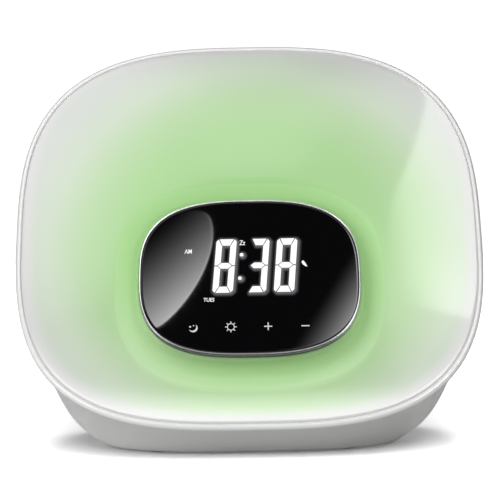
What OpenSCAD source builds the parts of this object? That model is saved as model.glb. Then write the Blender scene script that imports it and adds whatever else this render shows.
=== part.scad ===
// Sunrise alarm clock: a leaning squircle lamp with a domed diffuser, a glass display pod
// on its front, and a rear panel with a speaker, push buttons, an alarm switch and a power jack.
// Origin: on the table, under the middle of the clock. The face looks towards -Y.

/* [Face] */
// Width across the front rim
face_w = 218.6; // [205:0.2:230]
// Height of the front rim, along the leaning face
face_h = 195.6; // [188:0.2:205]
// Lean of the face back from upright, in degrees
lean = 23; // [20:1:25]
// Squareness of the rounded outlines: 2 is an ellipse
squareness = 2.85; // [2.6:0.05:3.1]
// Squareness of the lower half of the face and of the casing
squareness_low = 3.06; // [2.8:0.02:3.2]
// Height of the rim's lowest edge above the table
rim_lift = 14.8; // [12.5:0.1:16]
// Depth of the rim from front to back
rim_d = 3.5; // [3.5:0.5:6]
// How far the diffuser bulges in front of its edge
dome_h = 15; // [12:0.5:15.5]

/* [Casing] */
// Depth of the rear casing behind the rim
casing_d = 94; // [90:1:98]
// Wall thickness of the casing
wall = 2.4; // [2:0.1:2.6]
// Squareness of the casing's side and lower walls, seen in section
casing_round = 5.3; // [4.6:0.1:5.6]
// How strongly the casing's sides lean in behind the rim
side_taper = 16; // [8:1:18]

/* [Display pod] */
// Width of the pod's metal bezel
pod_w = 100.4; // [94:0.2:104]
// Height of the pod's metal bezel
pod_h = 75.4; // [70:0.2:78]
// Distance of the pod's centre below the face's centre
pod_drop = 32; // [28:0.5:34]
// Distance of the pod's front in front of the rim
pod_front = 19.5; // [18.5:0.5:22]
// Height of the metal bezel
bezel_h = 4; // [3:0.5:4]
// Width of the metal bezel's front edge
bezel_w = 1; // [1:0.1:1.5]

/* [Rear panel] */
// Thickness of the rear panel
panel_t = 2.4; // [2.2:0.1:2.6]
// Diameter of the speaker grille
grille_d = 42; // [38:1:42]
// Diameter of each push button
button_d = 9; // [8:0.5:9]
// Travel of each push button
button_travel = 0.8; // [0.5:0.1:0.9]
// Spacing of the push buttons
button_pitch = 17; // [16:0.5:17]
// Travel of the alarm switch's knob
slider_travel = 4; // [3:0.5:4]

/* [Power and battery] */
// Bore of the power jack's barrel
jack_bore_d = 6; // [5.8:0.1:6.2]
// Diameter of the power jack's centre pin
jack_pin_d = 2; // [1.9:0.1:2.1]
// Width of the battery door
door_w = 35; // [33:1:36]
// Length of the battery door from its hinge to its free edge
door_l = 27; // [26:1:28]

/* [Feet] */
// Height of the rubber feet below the casing
foot_h = 1; // [1:0.1:1.6]
// Diameter of the rubber feet
foot_d = 12; // [10:1:13]

/* [Hidden] */
$fn = 48;

// Clearance between pieces that fit into one another
gap = 0.2;
// Points round each outline
ring_steps = 72;
// Half sizes of the rim and the pod
face_a = face_w / 2;
face_b = face_h / 2;
pod_a = pod_w / 2;
pod_b = pod_h / 2;
// Height of the face's centre above the table
face_z = rim_lift + face_b * cos(lean) + rim_d * sin(lean);

// Rim: width of its lip, thickness of its lip and of its outer wall
lip_w = 2.4;
lip_t = 1.6;
rim_wall = 1.4;
rim_round = 1.2;

// Diffuser: edge inside the lip, flange behind it, thickness, and shape of the dome
dome_inset = lip_w + 0.4;
dome_edge_z = -0.3;
dome_power = 2.2;
diffuser_t = 2;
flange_inset = rim_wall + gap;
flange_top = -lip_t - gap;
flange_bottom = -rim_d + 0.1;
// Raised seat round the pod: its top, its flat width, and where its foot meets the dome
seat_z = pod_front - bezel_h;
seat_w = 1.2;
seat_foot = 7;
seat_hole = 0.7;
// Seat's flank: distance outwards from the flat, and share of its height
seat_flank = [[0.5, 0.92], [1.4, 0.5], [3, 0.16]];
// Stations of the dome's rings, from the seat's foot at 1 to the outer edge at 0
dome_stations = [1, 0.84, 0.68, 0.52, 0.38, 0.26, 0.16, 0.08, 0.03, 0];
dome_inner_stations = [0, 0.1, 0.26, 0.5, 0.75, 1];

// Casing: step in from the rim, how much squarer its section gets towards the rear, rings
// along it, and the angle at which its rear opening starts
casing_step = 0.8;
casing_squaring = 0.3;
casing_rings = 15;
casing_end = 59;
arc_steps = 54;
floor_steps = 12;
// Share of a ring's half width over which its lower points run where no floor cuts it wider
floor_share = 0.5;
rear_lip = 3.5;

// Squircle: distance of its edge from its centre, in direction phi
function squircle_r(a, b, n, phi) =
    pow(pow(abs(cos(phi)) / a, n) + pow(abs(sin(phi)) / b, n), -1 / n);
function squircle_point(a, b, n, phi) = squircle_r(a, b, n, phi) * [cos(phi), sin(phi)];
// Squareness in direction phi of an outline whose lower half has its own
function power_at(phi, low) = sin(phi) < 0 ? low : squareness;
// Outline of a squircle whose centre is at height cy
function outline(a, b, cy = 0, low = squareness) = [
    for (i = [0:ring_steps - 1])
        let (phi = 360 * i / ring_steps)
        squircle_point(a, b, power_at(phi, low), phi) + [0, cy]
];
function at_height(points, z) = [for (p = points) [p[0], p[1], z]];
function inset_face(d) = outline(face_a - d, face_b - d, low = squareness_low);
function around_pod(d) = outline(pod_a + d, pod_b + d, -pod_drop);

// Height of the dome over a point of the face
function dome_r(p) =
    let (n = p[1] < 0 ? squareness_low : squareness)
    pow(pow(abs(p[0]) / (face_a - dome_inset), n)
        + pow(abs(p[1]) / (face_b - dome_inset), n), 1 / n);
function dome_z(p) = dome_edge_z + dome_h * (1 - pow(dome_r(p), dome_power));
// A ring of the dome between its edge and the seat's foot, moved inwards for the inner side
function dome_ring(station, depth) =
    let (edge = inset_face(dome_inset + depth), foot = around_pod(seat_foot - depth))
    [for (i = [0:ring_steps - 1])
        let (p = edge[i] + (foot[i] - edge[i]) * station)
        [p[0], p[1], dome_z(p) - depth]];
// A ring of the seat's flank: rise is 0 on the dome and 1 at the seat's top
function seat_ring(d, rise, depth) = [
    for (p = around_pod(d))
        let (z = dome_z(p))
        [p[0], p[1], z + (seat_z - z) * rise - depth]
];

// One ring of the casing: a squircle cut by the floor, which starts at the right floor corner
function casing_outline(a, top, low, floor_v, squaring) =
    let (mid = (top + low) / 2,
         b = (top - low) / 2,
         n = squareness_low + squaring,
         cut = min(max((mid - floor_v) / b, 0), 1),
         corner_u = a * max(pow(1 - pow(cut, n), 1 / n), floor_share),
         corner_v = -b * pow(1 - pow(corner_u / a, n), 1 / n),
         start = atan2(corner_v, corner_u))
    concat(
        [for (i = [0:arc_steps])
            let (phi = start + (180 - 2 * start) * i / arc_steps,
                 p = squircle_point(a, b, power_at(phi, squareness_low) + squaring, phi))
            [p[0], max(p[1] + mid, floor_v)]],
        [for (i = [1:floor_steps - 1])
            let (u = corner_u * (2 * i / floor_steps - 1))
            [u, max(mid - b * pow(1 - pow(abs(u) / a, n), 1 / n), floor_v)]]);
// The casing at station psi, from 0 at the rim, with all walls moved in by depth
function casing_z(psi, depth) =
    -rim_d - (casing_d - depth) * squircle_point(1, 1, casing_round, psi)[1];
function casing_shape(psi, depth, shrink = 0) =
    let (q = squircle_point(1, 1, casing_round, psi),
         z = casing_z(psi, depth),
         b = face_b - casing_step - depth)
    casing_outline(
        (face_a - casing_step - depth) * q[0] - side_taper * q[1] * (1 - pow(q[1], 2)) - shrink,
        b * sqrt(1 - pow(q[1], 2)) - shrink,
        -b * q[0] + shrink,
        (foot_h + depth - face_z - z * sin(lean)) / cos(lean),
        casing_squaring * q[1]);
function casing_ring(psi, depth) = at_height(casing_shape(psi, depth), casing_z(psi, depth));
casing_angles = [for (i = [0:casing_rings]) casing_end * i / casing_rings];
casing_rear_z = casing_z(casing_end, 0);

// Outer rings of the casing, from which the clock's rearmost point follows
casing_outer = [for (psi = casing_angles) casing_ring(psi, 0)];
function world_y(p) = p[1] * sin(lean) - p[2] * cos(lean);
rear_y = max([for (ring = casing_outer) for (p = ring) world_y(p)]);
// Rounding of the bezel's outer edge, and the clock's foremost point, on that edge
bezel_round = 0.8;
bezel_round_steps = 4;
bezel_profile = concat(
    [[-bezel_w, -bezel_h], [-bezel_w, 0]],
    [for (i = [0:bezel_round_steps])
        let (turn = 90 * i / bezel_round_steps)
        [-bezel_round * (1 - sin(turn)), -bezel_round * (1 - cos(turn))]],
    [[0, -bezel_h]]);
bezel_rings = [for (p = bezel_profile) at_height(around_pod(p[0]), pod_front + p[1])];
front_y = min([for (ring = bezel_rings) for (p = ring) world_y(p)]);
face_y = -(front_y + rear_y) / 2;

board_t = 1.6;
// Screws: radius and height of the head, radius and length of the shank
panel_screw = [2.9, 1.1, 1.4, 12];
led_screw = [2.6, 1.4, 1.3, board_t];
main_screw = [2.2, 1.2, 1.1, 6];
display_screw = [2, 1.1, 1, 4.5];
button_screw = [1.8, 1, 0.75, 5];
screw_play = 0.3;
thread_fit = 0.05;

// Display pod: lens, housing and the hollow neck that carries it on the tray
lens_t = 2;
lens_recess = 0.2;
housing_wall = 1.6;
housing_gap = 1;
housing_d = 14;
housing_bottom = pod_front - housing_d;
neck = [30, 16];
neck_wall = 1.6;
module_size = [66, 32, 5];
module_v = 6;
lens_z = pod_front - lens_recess - lens_t;
display_gap = 0.3;
display_board_z = lens_z - display_gap - module_size[2];
display_post = [38, 18];
display_post_r = 2.6;
key_pitch = 17.7;
key_v = -22;
key_spring = [2.4, 3];
key_pad_r = 3.6;

// Reflector tray behind the diffuser
tray_play = 0.8;
tray_floor_z = -26;
tray_floor = [80, 68];
tray_t = 1.6;
tray_steps = 48;
cable_w = 16;
cable_t = 0.4;
cable_slot = [20, 6];
tray_back_z = tray_floor_z - tray_t;

// LED board
led_board_size = [72, 60];
led_pitch = 18;
led_size = [3.5, 3.5, 0.9];
led_top_z = tray_floor_z + board_t;
led_screw_places = [[-64, 0], [64, 0], [-36, 48], [36, 48]];

// Rear panel, in its own frame: x to the right as seen from behind, y up, z outwards
panel_recess = 0.6;
panel_z = casing_rear_z + panel_recess;
panel_v = let (q = squircle_point(1, 1, casing_round, casing_end))
    (face_b - casing_step) * (sqrt(1 - pow(q[1], 2)) - q[0]) / 2;
panel_flange_t = 1.8;
grille_place = [0, 8];
grille_r = grille_d / 2;
grille_t = 1.4;
grille_ledge = 2;
button_places = [for (i = [0:3]) [(i - 1.5) * button_pitch, -22]];
slider_place = [-40, 4];
jack_place = [40, 4];
panel_screw_places = [[-36, 20], [36, 20], [-47, -12], [47, -12]];
screw_recess = 1.2;
grille_hole_r = 0.9;
grille_hole_step = 3.1;
grille_hole_rings = 5;

// Posts and standoffs behind the tray
post_r = 3.4;
post_bore_l = 14;
standoff_r = 3;
standoff_l = 8;
main_board_size = [86, 54];
main_board_v = 38;
main_board_z = tray_back_z - standoff_l;
main_screw_places = [[-38, 16], [38, 16], [-38, 60], [38, 60]];
// What stands on the main board: its place, size and height
main_chips = [[[0, 4], [14, 14, 1.6]], [[-24, 6], [9, 7, 1.5]], [[24, 10], [8, 8, 4]],
              [[-26, -8], [6, 4, 2]]];
main_capacitors = [[[22, -8], [4, 9]], [[32, -8], [3.2, 8]]];
main_plugs = [[[0, -21], [20, 5, 5]], [[-24, -21], [10, 5, 5]]];

// Speaker behind the grille: flange, ledge for the cone, basket and magnet
speaker_r = 20.5;
speaker_ledge_r = 15.5;
speaker_wall_r = 16.3;
basket_end = [13, 11];
basket_hole_r = 11.5;
cone_r = 13.4;
cone_neck = [5.4, 6.4];
magnet = [14, 7];

// Push buttons
button_r = button_d / 2;
button_proud = 1.4;
button_flange_t = 1.2;
button_flange_w = 1.1;
button_stem_r = 1.5;
button_stem_z = -5.6;
switch_h = 4;
switch_size = 6;
button_board_z = button_stem_z - button_travel - 0.1 - switch_h;
button_board_size = [62, 12];
board_post_places = [[-button_pitch, -22], [button_pitch, -22]];
board_post_r = 1.9;
board_post_bore_l = 6;

// Alarm switch
knob = [5, 7, 1.5];
slider_neck = [3, 2.6];
slider_plate = [5.4, 10, 1];
slider_rest = -slider_travel / 2;
switch_boss_h = slider_plate[2] + 0.5;
switch_plate = [7, 22, 0.6];
switch_body = [6.5, 12, 5];

// Power jack
jack_r = jack_bore_d / 2 + 1;
jack_flange_r = 5.6;
jack_flange_t = 1.2;
jack_l = 11.5;
jack_end_t = 1.5;
jack_body = [9, 11];
pin_setback = 1.2;
pin_tip = 0.5;

// Battery compartment in the floor: hinge line, opening, tray and coin cell
door_t = 1.6;
hinge_y = 11.8;
hinge_z = foot_h + 1.3;
hinge_r = 1.1;
hinge_pin_r = 0.5;
pin_fit = 0.05;
hinge_reach = 1.9;
lug_w = 3;
opening_margin = 0.4;
opening_front = hinge_y - 1.8;
opening_rear = hinge_y + door_l + opening_margin;
opening_half = door_w / 2 + opening_margin;
tray_rim_t = 1.4;
tray_rim_w = 3.6;
battery_wall = 1.4;
battery_tray_h = 8;
cell_r = 10;
cell_t = 3.2;
cell_y = hinge_y + 14.5;
cell_z = foot_h + wall + 1.2;
contact_t = 0.3;

// Feet
foot_front = [44, 16.5];
foot_rear = [46, 45];

// A closed skin over rings of equal length, which run outwards over the front and then back.
// A tube joins its last ring to its first. Otherwise both ends are capped.
module skin(rings, tube = false) {
    count = len(rings);
    steps = len(rings[0]);
    sides = [
        for (i = [0:count - (tube ? 1 : 2)])
            for (j = [0:steps - 1])
                let (next_ring = ((i + 1) % count) * steps, k = (j + 1) % steps)
                each [[i * steps + j, i * steps + k, next_ring + k],
                      [i * steps + j, next_ring + k, next_ring + j]]
    ];
    caps = tube ? [] : [
        [for (j = [0:steps - 1]) steps - 1 - j],
        [for (j = [0:steps - 1]) (count - 1) * steps + j]
    ];
    polyhedron(points = [for (ring = rings) each ring], faces = concat(sides, caps));
}

// Frame of the leaning face: x to the right, y up the face, z outwards
module on_face() {
    translate([0, face_y, face_z]) rotate([90 - lean, 0, 0]) children();
}
// Frame of the rear panel
module on_panel() {
    on_face() translate([0, panel_v, panel_z]) rotate([0, 180, 0]) children();
}
module at_places(places) {
    for (p = places) translate([p[0], p[1], 0]) children();
}
module slab(points, z0, z1) {
    translate([0, 0, z0]) linear_extrude(z1 - z0) polygon(points);
}
module block(size, z0) {
    translate([-size[0] / 2, -size[1] / 2, z0]) cube(size);
}
module rod(r, z0, z1) {
    translate([0, 0, z0]) cylinder(h = z1 - z0, r = r);
}
module tube(r_out, r_in, z0, z1) {
    difference() {
        rod(r_out, z0, z1);
        rod(r_in, z0 - 1, z1 + 1);
    }
}
// A pan-head screw whose head rests on z = 0, with its shank towards -z
module screw(kind) {
    head_r = kind[0];
    head_h = kind[1];
    slot_w = head_r / 3;
    difference() {
        rod(head_r, 0, head_h);
        block([head_r * 1.2, slot_w, head_h], head_h / 2);
        block([slot_w, head_r * 1.2, head_h], head_h / 2);
    }
    rod(kind[2], -kind[3], 0.01);
}
// What is drilled for a screw: a hole that clears its shank, or one that its thread bites into
module screw_hole(kind, z0, z1) {
    rod(kind[2] + screw_play, z0, z1);
}
module thread_hole(kind, z0, z1) {
    rod(kind[2] + thread_fit, z0, z1);
}

// Front
module front_rim() {
    soft = rim_round * 0.29;
    profile = [
        [lip_w, -0.5], [lip_w - 0.15, -0.15], [lip_w - 0.5, 0],
        [rim_round, 0], [rim_round - 0.75, -0.2], [soft / 2, -0.75], [0, -rim_round],
        [0, -rim_d], [rim_wall, -rim_d], [rim_wall, -lip_t], [lip_w, -lip_t]
    ];
    color("white") on_face()
        skin([for (p = profile) at_height(inset_face(p[0]), p[1])], tube = true);
}
module diffuser() {
    inner = dome_inset + diffuser_t;
    rings = concat(
        [at_height(around_pod(-seat_hole), seat_z),
         at_height(around_pod(seat_w), seat_z)],
        [for (p = seat_flank) seat_ring(seat_w + p[0], p[1], 0)],
        [for (s = dome_stations) dome_ring(s, 0)],
        [at_height(inset_face(dome_inset), flange_top),
         at_height(inset_face(flange_inset), flange_top),
         at_height(inset_face(flange_inset), flange_bottom),
         at_height(inset_face(inner), flange_bottom)],
        [for (s = dome_inner_stations) dome_ring(s, diffuser_t)],
        [seat_ring(seat_w, 0.5, diffuser_t),
         at_height(around_pod(-seat_hole), seat_z - diffuser_t)]);
    color("palegreen") on_face() skin(rings, tube = true);
}

// Casing
module rear_shell() {
    opening = casing_shape(casing_end, 0, rear_lip);
    rings = concat(
        casing_outer,
        [at_height(opening, casing_rear_z),
         at_height(opening, casing_z(casing_end, wall))],
        [for (i = [0:casing_rings]) casing_ring(casing_angles[casing_rings - i], wall)]);
    color("whitesmoke") difference() {
        on_face() skin(rings, tube = true);
        translate([-opening_half, face_y + opening_front, foot_h - 1])
            cube([2 * opening_half, opening_rear - opening_front, wall + 2]);
    }
}
module foot(x, y) {
    color("dimgray") translate([x, face_y + y, 0]) rod(foot_d / 2, 0, foot_h);
}
module foot_front_left() { foot(-foot_front[0], foot_front[1]); }
module foot_front_right() { foot(foot_front[0], foot_front[1]); }
module foot_rear_left() { foot(-foot_rear[0], foot_rear[1]); }
module foot_rear_right() { foot(foot_rear[0], foot_rear[1]); }

// Light engine
function tray_ring(a, b, z) = [
    for (i = [0:tray_steps - 1])
        let (phi = 360 * i / tray_steps,
             p = squircle_point(a, b, power_at(phi, squareness_low), phi))
        [p[0], p[1], z]
];
module reflector_tray() {
    top_z = flange_bottom - 0.1;
    edge = casing_step + wall + tray_play;
    rings = [
        tray_ring(tray_floor[0], tray_floor[1], tray_floor_z),
        tray_ring(face_a - edge - 4, face_b - edge - 4, top_z),
        tray_ring(face_a - edge, face_b - edge, top_z),
        tray_ring(face_a - edge, face_b - edge, top_z - tray_t),
        tray_ring(face_a - edge - 2, face_b - edge - 2, top_z - tray_t),
        tray_ring(tray_floor[0] + tray_t, tray_floor[1] + tray_t, tray_back_z)
    ];
    color("white") on_face() difference() {
        skin(rings);
        translate([0, -pod_drop, 0])
            block([cable_slot[0], cable_slot[1], tray_t + 2], tray_back_z - 1);
    }
}
module led_board() {
    color("seagreen") on_face() difference() {
        slab(outline(led_board_size[0], led_board_size[1]), tray_floor_z, led_top_z);
        translate([0, -pod_drop, 0])
            block([neck[0] + 2, neck[1] + 2, board_t + 2], tray_floor_z - 1);
        at_places(led_screw_places) screw_hole(led_screw, tray_floor_z - 1, led_top_z + 1);
    }
}
module leds() {
    color("gold") on_face()
        for (x = [-3:3], y = [-2:2])
            if (abs(x) > 1 || abs(y * led_pitch + pod_drop) > neck[1])
                translate([x * led_pitch, y * led_pitch, 0]) block(led_size, led_top_z);
}
module led_board_screws() {
    color("silver") on_face() at_places(led_screw_places)
        translate([0, 0, led_top_z]) screw(led_screw);
}
module chassis_posts() {
    panel_inner_z = panel_z + panel_t;
    color("gainsboro") on_face() {
        translate([0, panel_v, 0]) at_places(panel_screw_places) difference() {
            rod(post_r, panel_inner_z, tray_back_z);
            thread_hole(panel_screw, panel_inner_z - 1, panel_inner_z + post_bore_l);
        }
        at_places(main_screw_places) difference() {
            rod(standoff_r, main_board_z, tray_back_z);
            thread_hole(main_screw, main_board_z - 1, tray_back_z - 2);
        }
    }
}
module main_board() {
    color("green") on_face() difference() {
        translate([0, main_board_v, 0])
            block([main_board_size[0], main_board_size[1], board_t], main_board_z - board_t);
        at_places(main_screw_places)
            screw_hole(main_screw, main_board_z - board_t - 1, main_board_z + 1);
    }
}
module main_board_parts() {
    face = main_board_z - board_t;
    color("black") on_face() translate([0, main_board_v, face]) mirror([0, 0, 1]) {
        for (part = concat(main_chips, main_plugs)) at_places([part[0]]) block(part[1], 0);
        for (part = main_capacitors) at_places([part[0]]) rod(part[1][0], 0, part[1][1]);
    }
}
module main_board_screws() {
    color("silver") on_face() at_places(main_screw_places)
        translate([0, 0, main_board_z - board_t]) mirror([0, 0, 1]) screw(main_screw);
}

// Display pod
module display_housing() {
    bore = around_pod(-housing_gap - housing_wall);
    color("gainsboro") on_face() {
        difference() {
            slab(around_pod(-housing_gap), housing_bottom, seat_z);
            slab(bore, housing_bottom + housing_wall, lens_z);
            translate([0, -pod_drop, 0])
                block([cable_slot[0], cable_slot[1], housing_d], housing_bottom - 1);
        }
        difference() {
            slab(around_pod(-bezel_w - gap), seat_z, lens_z);
            slab(bore, seat_z - 1, lens_z + 1);
        }
        translate([0, -pod_drop, 0]) difference() {
            block([neck[0], neck[1], housing_bottom - tray_floor_z], tray_floor_z);
            block([neck[0] - 2 * neck_wall, neck[1] - 2 * neck_wall, housing_d - tray_floor_z],
                  tray_floor_z - 1);
        }
        translate([0, -pod_drop, 0]) at_display_posts() difference() {
            rod(display_post_r, housing_bottom, display_board_z - board_t);
            thread_hole(display_screw, housing_bottom + 2, display_board_z);
        }
    }
}
module at_display_posts() {
    for (x = [-1, 1], y = [-1, 1])
        translate([x * display_post[0], y * display_post[1], 0]) children();
}
module display_bezel() {
    color("silver") on_face() skin(bezel_rings, tube = true);
}
module display_lens() {
    color("black") on_face()
        slab(around_pod(-bezel_w - gap / 2), lens_z, lens_z + lens_t);
}
module display_module() {
    color("darkslategray") on_face()
        translate([0, module_v - pod_drop, 0]) block(module_size, display_board_z);
}
module display_board() {
    color("green") on_face() difference() {
        slab(around_pod(-housing_gap - housing_wall - 2), display_board_z - board_t,
             display_board_z);
        translate([0, -pod_drop, 0]) at_display_posts()
            screw_hole(display_screw, display_board_z - board_t - 1, display_board_z + 1);
    }
}
module display_screws() {
    color("silver") on_face() translate([0, -pod_drop, display_board_z])
        at_display_posts() screw(display_screw);
}
module touch_pads() {
    color("silver") on_face()
        for (i = [0:3])
            translate([(i - 1.5) * key_pitch, key_v - pod_drop, 0]) {
                tube(key_spring[1], key_spring[0], display_board_z, lens_z - display_gap);
                rod(key_pad_r, lens_z - display_gap, lens_z);
            }
}
module display_cable() {
    bend_z = tray_back_z - 3;
    plug_v = main_board_v - main_board_size[1] / 2 - 1;
    color("white") on_face() {
        translate([0, -pod_drop, 0])
            block([cable_w, cable_t, display_board_z - board_t - bend_z], bend_z);
        translate([-cable_w / 2, -pod_drop - cable_t / 2, bend_z - cable_t])
            cube([cable_w, plug_v + pod_drop + cable_t, cable_t]);
        translate([0, plug_v, 0])
            block([cable_w, cable_t, bend_z - main_board_z + 4], main_board_z - 4);
    }
}

// Rear panel and what is on it
module rear_panel() {
    opening = casing_shape(casing_end, 0, rear_lip + gap);
    flange = casing_shape(casing_end, 0, rear_lip - 1.7);
    flange_front = casing_z(casing_end, wall) + 0.1;
    color("whitesmoke") difference() {
        union() {
            on_face() {
                slab(opening, panel_z, panel_z + panel_t);
                slab(flange, flange_front, flange_front + panel_flange_t);
            }
            on_panel() {
                at_places(board_post_places) rod(board_post_r, button_board_z, -panel_t);
                translate([slider_place[0], slider_place[1], 0])
                    for (side = [-1, 1])
                        translate([0, side * (switch_plate[1] - 4) / 2, 0])
                            rod(1.8, -panel_t - switch_boss_h, -panel_t);
            }
        }
        on_panel() panel_openings();
    }
}
module panel_openings() {
    deep = panel_t + panel_flange_t + 3;
    translate([grille_place[0], grille_place[1], 0]) {
        rod(grille_r + gap, -grille_t, 1);
        rod(grille_r - grille_ledge, -deep, 1);
    }
    translate([grille_place[0], grille_place[1], 0]) rod(grille_r + 0.5, -deep, -panel_t);
    at_places(button_places) {
        rod(button_r + gap, -deep, 1);
        rod(button_r + button_flange_w + gap, -deep, -panel_t);
    }
    at_places(board_post_places)
        thread_hole(button_screw, button_board_z - 1, button_board_z + board_post_bore_l);
    translate([slider_place[0], slider_place[1], 0]) {
        block([slider_neck[0] + 0.6, slider_neck[1] + slider_travel + 0.6, deep + 1], -deep);
        block([slider_plate[0] + 1, slider_plate[1] + slider_travel + 1, deep - panel_t], -deep);
    }
    translate([jack_place[0], jack_place[1], 0]) {
        rod(jack_r + 0.1, -deep, 1);
        rod(jack_flange_r + gap, -deep, -panel_t);
        block([jack_body[0] + 2 * gap, jack_body[1] + 2 * gap, deep - panel_t], -deep);
    }
    at_places(panel_screw_places) {
        screw_hole(panel_screw, -deep, 1);
        rod(panel_screw[0] + screw_play, -screw_recess, 1);
        rod(post_r + gap, -deep, -panel_t);
    }
}
module panel_screws() {
    color("silver") on_panel() at_places(panel_screw_places)
        translate([0, 0, -screw_recess]) screw(panel_screw);
}
module speaker_grille() {
    color("dimgray") on_panel() translate([grille_place[0], grille_place[1], 0]) difference() {
        rod(grille_r, -grille_t, 0);
        for (k = [0:grille_hole_rings])
            for (i = [0:max(6 * k - 1, 0)])
                rotate([0, 0, 360 * i / max(6 * k, 1)])
                    translate([k * grille_hole_step, 0, 0]) rod(grille_hole_r, -grille_t - 1, 1);
    }
}
module speaker_basket() {
    color("dimgray") on_panel() translate([grille_place[0], grille_place[1], -panel_t])
        rotate_extrude() polygon([
            [speaker_ledge_r, 0], [speaker_r, 0], [speaker_r, -1], [speaker_wall_r + 1.9, -1],
            [basket_end[0], 2 - basket_end[1]], [basket_end[0], -basket_end[1]],
            [basket_hole_r, -basket_end[1]], [basket_hole_r, 2.6 - basket_end[1]],
            [speaker_wall_r, -1.2], [speaker_wall_r, -0.6], [speaker_ledge_r, -0.6]
        ]);
}
module speaker_cone() {
    color("black") on_panel() translate([grille_place[0], grille_place[1], -panel_t])
        rotate_extrude() polygon([
            [0, 3 - cone_neck[1]], [cone_neck[0] / 2, 2.4 - cone_neck[1]],
            [cone_neck[0] - 0.4, 1 - cone_neck[1]], [cone_r, -1.6], [cone_r + 0.8, -0.9],
            [cone_r + 1.6, -0.6], [speaker_wall_r, -0.6], [speaker_wall_r, -1.1],
            [cone_r + 1.6, -1.2], [cone_r + 0.4, -2.2], [cone_neck[0], -cone_neck[1]],
            [0, -cone_neck[1]]
        ]);
}
module speaker_magnet() {
    color("silver") on_panel() translate([grille_place[0], grille_place[1], -panel_t]) {
        rod(magnet[0], -basket_end[1] - magnet[1], -basket_end[1]);
        rod(cone_neck[0] - 0.4, -basket_end[1], -cone_neck[1] - 0.1);
    }
}
module push_button(i) {
    soft = 0.6;
    color("gainsboro") on_panel()
        translate([button_places[i][0], button_places[i][1], 0]) {
            rotate_extrude() polygon([
                [0, -panel_t - 0.1 - button_flange_t], [0, button_proud],
                [button_r - 2 * soft, button_proud], [button_r - soft / 2, button_proud - soft / 2],
                [button_r, button_proud - 2 * soft], [button_r, -panel_t - 0.1],
                [button_r + button_flange_w, -panel_t - 0.1],
                [button_r + button_flange_w, -panel_t - 0.1 - button_flange_t]
            ]);
            rod(button_stem_r, button_stem_z, -panel_t - 1);
        }
}
module time_button() { push_button(0); }
module alarm_button() { push_button(1); }
module sound_button() { push_button(2); }
module light_button() { push_button(3); }
module button_board() {
    color("green") on_panel() difference() {
        translate([0, button_places[0][1], 0])
            block([button_board_size[0], button_board_size[1], board_t],
                  button_board_z - board_t);
        at_places(board_post_places)
            screw_hole(button_screw, button_board_z - board_t - 1, button_board_z + 1);
    }
}
module button_switches() {
    color("dimgray") on_panel() at_places(button_places) {
        block([switch_size, switch_size, switch_h - 0.6], button_board_z);
        rod(1.7, button_board_z, button_board_z + switch_h);
    }
}
module button_board_screws() {
    color("silver") on_panel() at_places(board_post_places)
        translate([0, 0, button_board_z - board_t]) mirror([0, 0, 1]) screw(button_screw);
}
module rear_cable() {
    start = [main_board_v - 26.5, main_board_z - board_t - 2];
    end = [panel_v + button_places[0][1] + 3,
           panel_z - button_board_z + board_t + 0.2];
    color("white") on_face() translate([24 - 4, 0, 0])
        rotate([90, 0, 90]) linear_extrude(8) polygon([
            start, [start[0] + cable_t, start[1]],
            [end[0] + cable_t, end[1]], end
        ]);
}
module alarm_slider() {
    color("gray") on_panel()
        translate([slider_place[0], slider_place[1] + slider_rest, 0]) {
            difference() {
                block(knob, 0.15);
                for (y = [-2, 0, 2])
                    translate([0, y, 0]) block([knob[0] + 1, 0.7, 1], knob[2] - 0.25);
            }
            block([slider_neck[0], slider_neck[1], panel_t + 1], -panel_t - 0.5);
            block(slider_plate, -panel_t - 0.2 - slider_plate[2]);
        }
}
module slide_switch() {
    plate_z = -panel_t - switch_boss_h - switch_plate[2];
    color("silver") on_panel() translate([slider_place[0], slider_place[1], 0]) {
        block(switch_plate, plate_z);
        block(switch_body, plate_z - switch_body[2]);
    }
}
module dc_jack() {
    color("black") on_panel() translate([jack_place[0], jack_place[1], 0]) difference() {
        union() {
            rod(jack_r, -jack_l, 0);
            rod(jack_flange_r, -panel_t - jack_flange_t, -panel_t);
            block([jack_body[0], jack_body[1], jack_l - panel_t - jack_flange_t], -jack_l);
        }
        rod(jack_bore_d / 2, -jack_l + jack_end_t, 1);
    }
}
module dc_jack_pin() {
    color("gold") on_panel() translate([jack_place[0], jack_place[1], 0]) {
        rod(jack_pin_d / 2, -jack_l + jack_end_t, -pin_setback);
        translate([0, 0, -pin_setback])
            cylinder(h = pin_tip, r1 = jack_pin_d / 2, r2 = jack_pin_d / 4);
    }
}

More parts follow.
